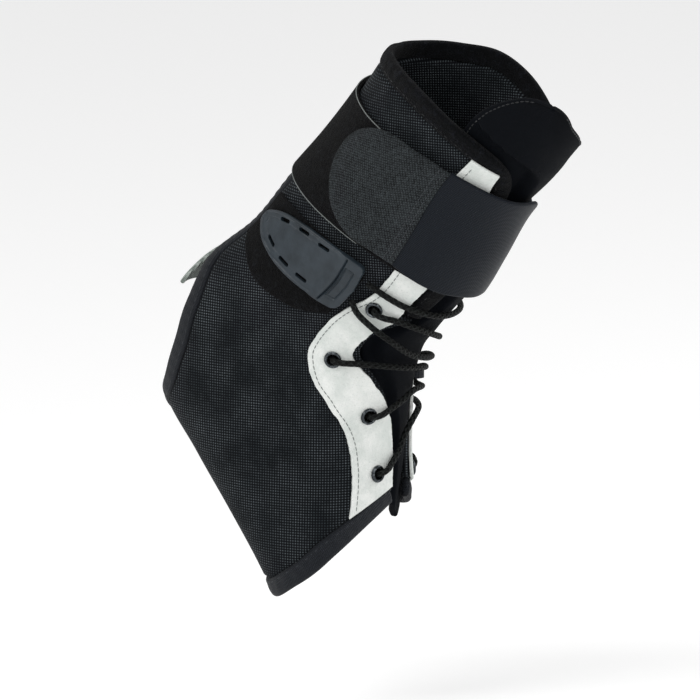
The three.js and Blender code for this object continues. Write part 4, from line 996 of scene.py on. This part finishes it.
def makeTab():
    shares = np.concatenate([0.08 * np.linspace(0, 1, 14) ** 2, np.linspace(0.08, 0.93, 280)[1:],
                             1 - 0.07 * np.linspace(1, 0, 16)[1:] ** 1.5])
    columns = edged(52, 0.03)
    a, b = np.meshgrid(shares, columns * 2 - 1, indexing="ij")
    half = lookUp(tabOutline, "share", "half", a)
    along, turn = tabSpot(a, b * half)
    base = limbPoint(along, turn)
    rim = edgeDistance(base)
    relief = tabRelief
    block = smoothStep(a, *relief["block"])
    field = tab["rimWall"] * smoothStep(rim, *relief["rimStep"]) * (1 - block)
    contour = relief["contour"] * np.exp(-((rim - relief["contourInset"]) / relief["contourWidth"]) ** 2)
    contour = contour * (1 - smoothStep(a, *relief["contourFade"]))
    groove = relief["groove"] * np.exp(-((a - relief["grooveShare"]) / relief["grooveWidth"]) ** 2)
    groove = groove * smoothStep(rim, *relief["grooveRim"])
    window, floor = (smoothStep(a, *relief[f"{name}Start"]) * (1 - smoothStep(a, *relief[f"{name}End"]))
                     * (1 - smoothStep(np.abs(b), *relief[f"{name}Side"])) for name in ("window", "floor"))
    sunk = relief["windowDepth"] * window - relief["floorRise"] * floor * window
    high = tabLift + tab["wall"] - field - contour + tab["pocket"] * block - groove - sunk
    obj = clothPiece("pull_tab", along, turn, tabLift, high, finishes["rubber"], rim=0.7, smoothAngle=40)
    cutSlots(obj)
    place(obj, "lace_tab", slotName="tab_rubber")


def cutSlots(obj):
    straight, radius = (tab["slotLength"] - tab["slotWidth"]) / 2, tab["slotWidth"] / 2
    step = tab["slotLength"] / tab["length"] / 2
    angles = np.linspace(-math.pi / 2, math.pi / 2, 8)
    cap = np.stack([straight + radius * np.cos(angles), radius * np.sin(angles)], axis=-1)
    outline = np.concatenate([cap, -cap])
    flat = np.concatenate([outline, np.zeros((len(outline), 1))], axis=1)
    holes = []
    for share, across, splay in tabSlots:
        start = limbPoint(*tabSpot(share - step, across - splay / 2))
        end = limbPoint(*tabSpot(share + step, across + splay / 2))
        along, turn = tabSpot(share, across)
        holes.append([standOn(flat + [0, 0, z], along, turn, 0, end - start)
                      for z in (tabLift - tab["cutBelow"], tabLift + tab["cutAbove"])])
    cutHoles(obj, holes)


makeTab()
print("patch and tab made")

tongue = {"crown": 3.2, "drop": 0.8, "riseStart": 0.4, "riseEnd": 5.5, "rows": 260, "columns": 60, "rim": 1.5,
          "fill": 0.6}
tongueRows = [dict(zip(("along", "middle", "half"), row)) for row in (
    (0.036, -0.4, 0.02), (0.055, -0.35, 0.18), (0.09, -0.26, 0.32), (0.15, -0.19, 0.38), (0.25, -0.18, 0.45),
    (0.33, -0.15, 0.54), (0.38, -0.1, 0.7), (0.43, -0.07, 0.77), (0.5, -0.06, 0.75), (0.56, -0.05, 0.7),
    (0.75, -0.02, 0.8), (0.86, 0.26, 0.92), (0.91, 0.4, 0.93), (0.943, 0.48, 0.81), (0.954, 0.54, 0.7),
    (0.965, 0.59, 0.58), (0.976, 0.64, 0.43), (0.985, 0.65, 0.31), (0.9905, 0.64, 0.16), (0.992, 0.64, 0.02))]
crownRows = [dict(zip(("along", "edge", "crown"), row)) for row in (
    (0.03, -0.03, 0.3), (0.12, 0.01, 1.1), (0.22, 0.04, 1.3), (0.3, 0.15, 1.2), (0.36, 0.31, 1.1),
    (0.42, 0.6, 1.2), (0.5, 0.58, 1.4), (0.6, 0.25, 1.45), (0.7, 0.24, 1.2), (0.84, 0.22, 1.5),
    (0.88, 0.24, 1.75), (0.91, 0.45, 1.7), (0.93, 1.3, 1.5), (0.99, 2.4, 1.3))]


def tongueLift(along, turn):
    edge = lookUp(crownRows, "along", "edge", along)
    middle = lookUp(throat, "along", "middle", along)
    room = (edge - middle - np.abs(turn - middle)) * limb["footHalf"]
    crown = tongue["crown"] * lookUp(crownRows, "along", "crown", along)
    return crown * smoothStep(room, tongue["riseStart"], tongue["riseEnd"]) - tongue["drop"]


def tongueSpots(rows, across):
    along = mix(tongueRows[0]["along"], tongueRows[-1]["along"], rows)[:, None] + np.zeros((1, len(across)))
    middle = lookUp(tongueRows, "along", "middle", along)
    distance = limb["footHalf"] * lookUp(tongueRows, "along", "half", along) * across[None, :]
    return along, sideStep(along, middle, distance)


def makeTongue():
    rows = np.concatenate([0.03 * np.linspace(0, 1, 12) ** 2, np.linspace(0.03, 0.95, tongue["rows"])[1:],
                           1 - 0.05 * np.linspace(1, 0, 40)[1:] ** 2])
    along, turn = tongueSpots(rows, edged(tongue["columns"], 0.04) * 2 - 1)
    high = tongueLift(along, turn)
    obj = clothPiece("padded_tongue", along, turn, high - walls["tongue"], high, finishes["tongue"],
                     rim=tongue["rim"])
    place(obj, "tongue", slotName="tongue_cloth")


makeTongue()
print("tongue made")


def makeEyelets():
    under = stayTopLift + eyelet["flangeGap"]
    bore, flange, barrel = eyelet["bore"] / 2, eyelet["flange"] / 2, eyelet["barrel"] / 2
    curl = np.linspace(math.pi, 0, 12)
    middle, half = (bore + flange) / 2, (flange - bore) / 2
    profile = [(bore, eyelet["foot"]), (bore, under + eyelet["boreRise"])]
    curlFoot = under + eyelet["curlFoot"]
    profile += [(middle + half * math.cos(angle), curlFoot + eyelet["curl"] * math.sin(angle))
                for angle in curl[1:]]
    profile += [(flange - eyelet["lip"], under), (barrel, under), (barrel, eyelet["foot"])]
    profile = np.array(profile)
    count, sides = len(profile), eyelet["sides"]
    angles = np.linspace(0, 2 * math.pi, sides, endpoint=False)
    radii, heights = profile[None, :, 0], profile[None, :, 1]
    ring = np.stack([radii * np.cos(angles)[:, None], radii * np.sin(angles)[:, None],
                     np.broadcast_to(heights, (sides, count))], axis=-1)
    at = np.arange(sides * count).reshape(sides, count)
    nextSide, nextPoint = np.roll(at, -1, axis=0), np.roll(at, -1, axis=1)
    quads = np.stack([x.ravel() for x in (at, nextSide, np.roll(nextSide, -1, axis=1), nextPoint)], axis=-1)
    for side, sideName in ((1, "outer"), (-1, "inner")):
        for number in range(len(eyelets)):
            along, turn = eyeletSpot(side, number)
            ahead, _ = limbSlopes(along, turn)
            points = standOn(ring.reshape(-1, 3), along, turn, 0, ahead)
            obj = meshObject(f"rim_{sideName}_{number + 1}", points, quads, ring.reshape(-1, 3)[:, :2],
                             finishes["metal"], 60)
            place(obj, f"eyelet_{sideName}_{number + 1}", slotName="eyelet_metal")


makeEyelets()

# The lace's route, the same chosen points as in the part's source: along, turn, lift over overLift
lace = {"width": 2.8, "sides": 16, "step": 0.45, "strandPitch": 3.1, "strandCount": 4, "relief": 0.13}
overLift = stayTopLift + lace["width"] / 2 + 0.4
underLift = -lace["width"] / 2 - 1.5 * walls["layerGap"]
flangeTop = stayTopLift + eyelet["flangeSeat"] + eyelet["flangeWall"]
laceStretches = {
    "tabToInnerTop": [(0.628, 1.09, 0), (0.618, 0.88, 0.2), (0.607, 0.65, 0), (0.596, 0.35, -0.8),
                      (0.588, 0.05, -1.3), (0.583, -0.25, -1.2), (0.58, -0.5, -0.3), (0.576, -0.75, 0.2)],
    "innerToOuterTop": [(0.43, -0.8, 0.4), (0.46, -0.5, 0), (0.495, -0.2, -0.4), (0.525, 0.12, -0.6),
                        (0.55, 0.42, -0.4), (0.563, 0.65, 0.2)],
    "outerToLoop": [(0.406, 0.66, 0.2), (0.402, 0.42, -0.4), (0.395, 0.15, -0.8), (0.388, -0.15, -0.8),
                    (0.379, -0.42, -0.4), (0.371, -0.62, 0), (0.362, -0.74, 0), (0.35, -0.785, 0),
                    (0.338, -0.74, 0), (0.337, -0.6, 0.1), (0.345, -0.4, -0.3), (0.346, -0.15, -1),
                    (0.329, 0.1, -0.7), (0.311, 0.3, 0.2)],
    "outerToInnerLow": [(0.14, 0.2, 0.3), (0.174, 0.03, -0.4), (0.218, -0.14, -1), (0.256, -0.32, -0.7),
                        (0.28, -0.52, 0), (0.288, -0.68, 0.3)],
    "innerLowToTab": [(0.155, -0.9, 0.3), (0.2, -1.02, 0.1), (0.25, -1.1, 0), (0.3, -1.16, 0),
                      (0.34, -1.12, 0.1), (0.368, -0.92, 0.3), (0.39, -0.66, 0.6), (0.405, -0.36, 1),
                      (0.422, -0.06, 1.4), (0.455, 0.24, 1.4), (0.497, 0.52, 1.3), (0.53, 0.76, 1.3),
                      (0.56, 0.98, 1.1), (0.58, 1.09, 0.3)],
}


def eyeletPass(side, number, outward, inward, goingDown):
    along, turn = eyeletSpot(side, number)
    above = [(4.4, flangeTop + lace["width"] / 2 + 0.4), (1.7, flangeTop + lace["width"] / 2 + 0.2),
             (0.4, flangeTop + 0.4), (0, walls["panel"])]
    below = [(0, 1), (0.4, -1), (1.7, underLift), (4, underLift)]
    here = limbPoint(along, turn)
    points = []
    for rows, target in ((above, outward), (below, inward)):
        for step, lift in rows:
            spot = walk(along, turn, limbPoint(*target[:2]) - here, step)
            points.append(lifted(*spot, lift))
    return points if goingDown else points[::-1]


def underRun(side, start, end):
    (alongA, turnA), (alongB, turnB) = eyeletSpot(side, start), eyeletSpot(side, end)
    return [lifted(mix(alongA, alongB, k / 7), mix(turnA, turnB, k / 7), underLift) for k in (2, 3, 4, 5)]


def overPoints(name):
    return [lifted(along, turn, overLift + lift) for along, turn, lift in laceStretches[name]]


def laceRoute():
    ends = {name: (rows[0], rows[-1]) for name, rows in laceStretches.items()}
    return np.array([
        *overPoints("tabToInnerTop"),
        *eyeletPass(-1, 0, ends["tabToInnerTop"][1], eyeletSpot(-1, 1), True),
        *underRun(-1, 0, 1),
        *eyeletPass(-1, 1, ends["innerToOuterTop"][0], eyeletSpot(-1, 0), False),
        *overPoints("innerToOuterTop"),
        *eyeletPass(1, 0, ends["innerToOuterTop"][1], eyeletSpot(1, 1), True),
        *underRun(1, 0, 1),
        *eyeletPass(1, 1, ends["outerToLoop"][0], eyeletSpot(1, 0), False),
        *overPoints("outerToLoop"),
        *eyeletPass(1, 2, ends["outerToLoop"][1], eyeletSpot(1, 3), True),
        *underRun(1, 2, 3),
        *eyeletPass(1, 3, ends["outerToInnerLow"][0], eyeletSpot(1, 2), False),
        *overPoints("outerToInnerLow"),
        *eyeletPass(-1, 2, ends["outerToInnerLow"][1], eyeletSpot(-1, 3), True),
        *underRun(-1, 2, 3),
        *eyeletPass(-1, 3, ends["innerLowToTab"][0], eyeletSpot(-1, 2), False),
        *overPoints("innerLowToTab"),
    ])


# Evenly spaced points on a smooth line through the given ones
def smoothPath(points, step):
    fine = throughPoints(points, len(points) * lineFineness["perLacePoint"])
    reach = np.concatenate([[0], np.cumsum(np.linalg.norm(np.diff(fine, axis=0), axis=-1))])
    even = np.linspace(0, reach[-1], int(reach[-1] / step))
    return np.stack([np.interp(even, reach, fine[:, k]) for k in range(3)], axis=-1), even


def makeLace():
    path, reach = smoothPath(laceRoute(), lace["step"])
    tangent = unit(np.gradient(path, axis=0))
    side = np.zeros_like(path)
    side[0] = unit(np.cross(tangent[0], [0.3, 0.2, 0.9]))
    for k in range(1, len(path)):
        carried = side[k - 1] - tangent[k] * (side[k - 1] @ tangent[k])
        side[k] = unit(carried)
    across = np.cross(tangent, side)
    angles = np.linspace(0, 2 * math.pi, lace["sides"], endpoint=False)
    turnShare = angles[None, :] / (2 * math.pi) * lace["strandCount"]
    runShare = (reach / lace["strandPitch"])[:, None]
    strands = np.maximum(*(np.sin(2 * math.pi * (turnShare + lean * runShare)) for lean in (1, -1)))
    radius = lace["width"] / 2 - lace["relief"] + lace["relief"] * strands
    ring = path[:, None] + radius[..., None] * (side[:, None] * np.cos(angles)[None, :, None]
                                               + across[:, None] * np.sin(angles)[None, :, None])
    rows, sides = ring.shape[:2]
    at = np.arange(rows * sides).reshape(rows, sides)
    turned = np.roll(at, -1, axis=1)
    quads = np.stack([x.ravel() for x in (at[:-1], turned[:-1], turned[1:], at[1:])], axis=-1)
    caps = [at[0][::-1], at[-1]]
    points = ring.reshape(-1, 3)
    if signedVolume(points, quads) < 0:
        quads, caps = quads[:, ::-1], [cap[::-1] for cap in caps]
    mesh = bpy.data.meshes.new("braided_lace")
    mesh.from_pydata(toWorld(points).tolist(), [], quads.tolist() + [cap.tolist() for cap in caps])
    layer = mesh.uv_layers.new(name="cloth")
    uvRound = np.broadcast_to(turnShare, (rows, sides)).ravel()
    uvRun = np.broadcast_to(runShare, (rows, sides)).ravel()
    loops = np.empty(len(mesh.loops), dtype=np.int64)
    mesh.loops.foreach_get("vertex_index", loops)
    uv = np.stack([uvRound[loops], uvRun[loops]], axis=-1)
    quadCount = len(quads) * 4
    faceUv = uv[:quadCount].reshape(-1, 4, 2)
    half = lace["strandCount"] / 2
    wrap = faceUv[..., 0].max(axis=1) - faceUv[..., 0].min(axis=1) > half
    faceUv[..., 0] += np.where(wrap[:, None] & (faceUv[..., 0] < half), lace["strandCount"], 0)
    uv[:quadCount] = faceUv.reshape(-1, 2)
    layer.data.foreach_set("uv", uv.astype(np.float32).ravel())
    mesh.materials.append(finishes["lace"])
    mesh.shade_smooth()
    obj = bpy.data.objects.new("braided_lace", mesh)
    bpy.context.collection.objects.link(obj)
    place(obj, "lace", slotName="lace_cord")


makeLace()
print("eyelets and lace made")

loop = {"wall": 1, "width": 3, "room": 2.6}


def makeLoop():
    along, turn = laceStretches["outerToLoop"][7][:2]
    halfGap = lace["width"] / 2 + loop["room"]
    height = lace["width"] + loop["room"]
    angles = np.linspace(0, math.pi, 18)

    def arch(radius):
        bow = np.stack([radius * np.cos(angles), height - halfGap + radius * np.sin(angles)], axis=-1)
        return np.concatenate([[[radius, 0]], bow, [[-radius, 0]]])

    inner, outer = arch(halfGap), arch(halfGap + loop["wall"])
    _, around = limbSlopes(along, turn)
    widths = np.linspace(-loop["width"] / 2, loop["width"] / 2, 7)

    def ribbon(line):
        flat = np.stack([np.stack([line[:, 0], np.full(len(line), width), line[:, 1]], axis=-1)
                         for width in widths], axis=1)
        placed = standOn(flat.reshape(-1, 3), along, turn, stayTopLift + walls["trimGap"], around)
        return placed.reshape(flat.shape)

    outerGrid, innerGrid = ribbon(outer), ribbon(inner)
    u, v = gridLengths(outerGrid)
    obj = closedGrid("webbing_loop", outerGrid, innerGrid, np.stack([u, v], axis=-1), finishes["tape"])
    place(obj, "lace_loop", slotName="binding_tape")


makeLoop()

# Stitches follow a line over the cloth; the tree lays one bead of thread for each stitch


def stitchTree():
    tree = bpy.data.node_groups.new("stitchRow", "GeometryNodeTree")
    face = tree.interface
    face.new_socket("Line", in_out="INPUT", socket_type="NodeSocketGeometry")
    for name, value in (("Pitch", 0.003), ("Length", 0.0022), ("Thickness", 0.0004)):
        face.new_socket(name, in_out="INPUT", socket_type="NodeSocketFloat").default_value = value
    face.new_socket("Thread", in_out="INPUT", socket_type="NodeSocketMaterial")
    face.new_socket("Stitches", in_out="OUTPUT", socket_type="NodeSocketGeometry")
    start = tree.nodes.new("NodeGroupInput")
    end = tree.nodes.new("NodeGroupOutput")
    resample = addNode(tree, "GeometryNodeResampleCurve", {"Curve": start.outputs["Line"]})
    resample.mode = "LENGTH"
    tree.links.new(start.outputs["Pitch"], resample.inputs["Length"])
    bead = addNode(tree, "GeometryNodeMeshIcoSphere", {"Radius": 0.5, "Subdivisions": 2})
    tangent = addNode(tree, "GeometryNodeInputTangent")
    turn = addNode(tree, "FunctionNodeAlignRotationToVector", {"Vector": tangent.outputs[0]}, axis="Z")
    thickness, length = start.outputs["Thickness"], start.outputs["Length"]
    size = addNode(tree, "ShaderNodeCombineXYZ", {0: thickness, 1: thickness, 2: length})
    copies = addNode(tree, "GeometryNodeInstanceOnPoints", {
        "Points": resample.outputs["Curve"], "Instance": bead.outputs["Mesh"], "Rotation": turn.outputs[0],
        "Scale": size.outputs[0]})
    real = addNode(tree, "GeometryNodeRealizeInstances", {"Geometry": copies.outputs[0]})
    smooth = addNode(tree, "GeometryNodeSetShadeSmooth", {"Geometry": real.outputs[0]})
    painted = addNode(tree, "GeometryNodeSetMaterial", {"Geometry": smooth.outputs[0],
                                                        "Material": start.outputs["Thread"]})
    tree.links.new(painted.outputs[0], end.inputs["Stitches"])
    return tree


def setInput(modifier, name, value):
    for item in modifier.node_group.interface.items_tree:
        if item.item_type == "SOCKET" and item.in_out == "INPUT" and item.name == name:
            modifier[item.identifier] = value


stitchRowTree = stitchTree()


# Pitch, length and thickness of each seam's stitches, in mm
seams = {"stay": (2.4, 2.15, 0.42), "tongue": (2.2, 1.8, 0.5), "strap": (2.4, 1.9, 0.35),
         "tape": (2.8, 2.3, 0.45), "bandEdge": (1.3, 1.7, 0.5)}
# Where the seams run: turns, shares of a piece's length or half width, and insets and depths in mm
seamPlaces = {"stayStart": 0.012, "stayEnd": 0.985, "stayRise": 0.02, "tongueStart": 0.62, "tongueEnd": 0.995,
              "tongueReach": 0.93, "tongueSink": 0.05, "strapSteps": (0, 0.05), "strapReach": 0.94,
              "tapeEnd": 0.004, "tapeInset": 1.3, "tapeSink": 0.35, "bandStart": 1.42, "bandSpan": 3.2,
              "bandUpperShare": 0.6, "bandInset": 0.1, "bandSink": 0.2}


def stitchRow(name, points, thread, seam, slotName="binding_tape"):
    pitch, length, thickness = seams[seam]
    curve = bpy.data.curves.new(name + "_line", "CURVE")
    curve.dimensions = "3D"
    line = curve.splines.new("POLY")
    world = toWorld(points)
    line.points.add(len(world) - 1)
    line.points.foreach_set("co", np.concatenate([world, np.ones((len(world), 1))], axis=1).ravel())
    guide = bpy.data.objects.new(name + "_line", curve)
    bpy.context.collection.objects.link(guide)
    modifier = guide.modifiers.new("stitches", "NODES")
    modifier.node_group = stitchRowTree
    for key, value in (("Pitch", pitch * mm), ("Length", length * mm), ("Thickness", thickness * mm)):
        setInput(modifier, key, value)
    setInput(modifier, "Thread", thread)
    bpy.context.view_layer.update()
    mesh = bpy.data.meshes.new_from_object(guide.evaluated_get(bpy.context.evaluated_depsgraph_get()))
    obj = bpy.data.objects.new(name, mesh)
    bpy.context.collection.objects.link(obj)
    bpy.data.objects.remove(guide)
    return place(obj, slotName=slotName)


def stayStitches(side, name):
    rows = np.linspace(seamPlaces["stayStart"], seamPlaces["stayEnd"], 300)
    along, turn = staySpots(side, rows, np.array([0.0, 1.0]))
    _, around = limbSlopes(along[:, 1], turn[:, 1])
    inset = stay["stitchInset"] / np.linalg.norm(around, axis=-1)
    line = lifted(along[:, 1], turn[:, 1] - np.sign(side) * inset, stayTopLift + seamPlaces["stayRise"])
    stitchRow(f"stay_stitches_{name}", line, finishes["greyThread"], "stay", "suede")


def tongueStitches():
    rows = np.linspace(seamPlaces["tongueStart"], seamPlaces["tongueEnd"], 260)
    for sign, name in ((1, "left"), (-1, "right")):
        along, turn = tongueSpots(rows, np.array([0.0, sign * seamPlaces["tongueReach"]]))
        along, turn = along[:, 1], turn[:, 1]
        line = lifted(along, turn, tongueLift(along, turn) - seamPlaces["tongueSink"])
        stitchRow(f"tongue_stitches_{name}", line, finishes["blackThread"], "tongue", "tongue_cloth")


def strapStitches():
    seamTurns = np.full(120, belts["seamTurn"])
    middle, half = beltSpan(strapEndRows, belts["strapHeight"], belts["strapWidth"], seamTurns)
    heights = middle + half * np.linspace(-seamPlaces["strapReach"], seamPlaces["strapReach"], 120)
    for k, step in enumerate(seamPlaces["strapSteps"]):
        turns = seamTurns + step
        line = lifted(atHeight(turns, heights), turns, strapLift + walls["strapEnd"])
        stitchRow(f"strap_stitches_{k + 1}", line, finishes["darkThread"], "strap", "strap_elastic")


def tapeStitches():
    shares = np.linspace(seamPlaces["tapeEnd"], 1 - seamPlaces["tapeEnd"], 500)
    for name, line, sign in (("collar", joinLines(collarLine(1), collarLine(-1)), 1),
                             ("toe", joinLines(toeLine(1), toeLine(-1)), -1),
                             ("heel", joinHeel(heelLine(1), heelLine(-1)), 1)):
        along, turn = beside(line, shares, sign * (edges["tapeWidth"] - seamPlaces["tapeInset"]))
        thread = finishes["blackThread" if name == "collar" else "darkThread"]
        stitchRow(f"{name}_stitches", lifted(along, turn, walls["tape"] - seamPlaces["tapeSink"]), thread, "tape")


# The cut edges of the plush band show as thin pale lines
def bandEdges():
    start = seamPlaces["bandStart"]
    for name, sign, share in (("lower", -1, 1), ("upper", 1, seamPlaces["bandUpperShare"])):
        turns = np.linspace(start, start + seamPlaces["bandSpan"] * share, 400)
        middle, half = beltSpan(bandRows, belts["bandHeight"], belts["bandWidth"], turns)
        along = atHeight(turns, middle + sign * (half - seamPlaces["bandInset"]))
        line = lifted(along, turns, bandLift + walls["band"] - seamPlaces["bandSink"])
        stitchRow(f"band_edge_{name}", line, finishes["greyThread"], "bandEdge", "loop_plush")


def makeStitches():
    for side, name in ((1, "outer"), (-1, "inner")):
        stayStitches(side, name)
    tongueStitches()
    strapStitches()
    tapeStitches()
    bandEdges()


makeStitches()
print("stitches made")

# Studio
studio = {"floorZ": -0.155, "floorSize": 9.0, "floorColor": 0.93, "floorGlow": 0.22, "world": 0.6}
# Name, place, target, size and power of each light
lights = [("key", (-0.5, -1.2, 1.1), (0.03, 0, 0.02), 0.9, 10.5),
          ("fill", (1.4, -0.7, 0.5), (0.03, 0, 0.02), 1.0, 5),
          ("rim", (0.9, 1.0, 0.9), (0.05, 0, 0.05), 0.7, 6)]


def areaLight(name, location, target, size, power):
    data = bpy.data.lights.new(name, "AREA")
    data.shape = "DISK"
    data.size = size
    data.energy = power
    obj = bpy.data.objects.new(name, data)
    bpy.context.collection.objects.link(obj)
    obj.location = location
    obj.rotation_euler = (Vector(target) - Vector(location)).to_track_quat("-Z", "Y").to_euler()


def makeStudio():
    half = studio["floorSize"] / 2
    mesh = bpy.data.meshes.new("floor")
    mesh.from_pydata([(-half, -half, studio["floorZ"]), (half, -half, studio["floorZ"]),
                      (half, half, studio["floorZ"]), (-half, half, studio["floorZ"])], [], [(0, 1, 2, 3)])
    material, tree, shader = startMaterial("floor", [studio["floorColor"]] * 3, 0.9, specular=0.1)
    shader.inputs["Emission Color"].default_value = (1, 1, 1, 1)
    shader.inputs["Emission Strength"].default_value = studio["floorGlow"]
    mesh.materials.append(material)
    floor = bpy.data.objects.new("floor", mesh)
    bpy.context.collection.objects.link(floor)
    world = bpy.data.worlds.new("studio")
    world.use_nodes = True
    background = world.node_tree.nodes["Background"]
    background.inputs[0].default_value = (1, 1, 1, 1)
    background.inputs[1].default_value = studio["world"]
    bpy.context.scene.world = world
    for light in lights:
        areaLight(*light)
    bpy.context.scene.view_settings.view_transform = "Standard"


makeStudio()

print("studio ready")
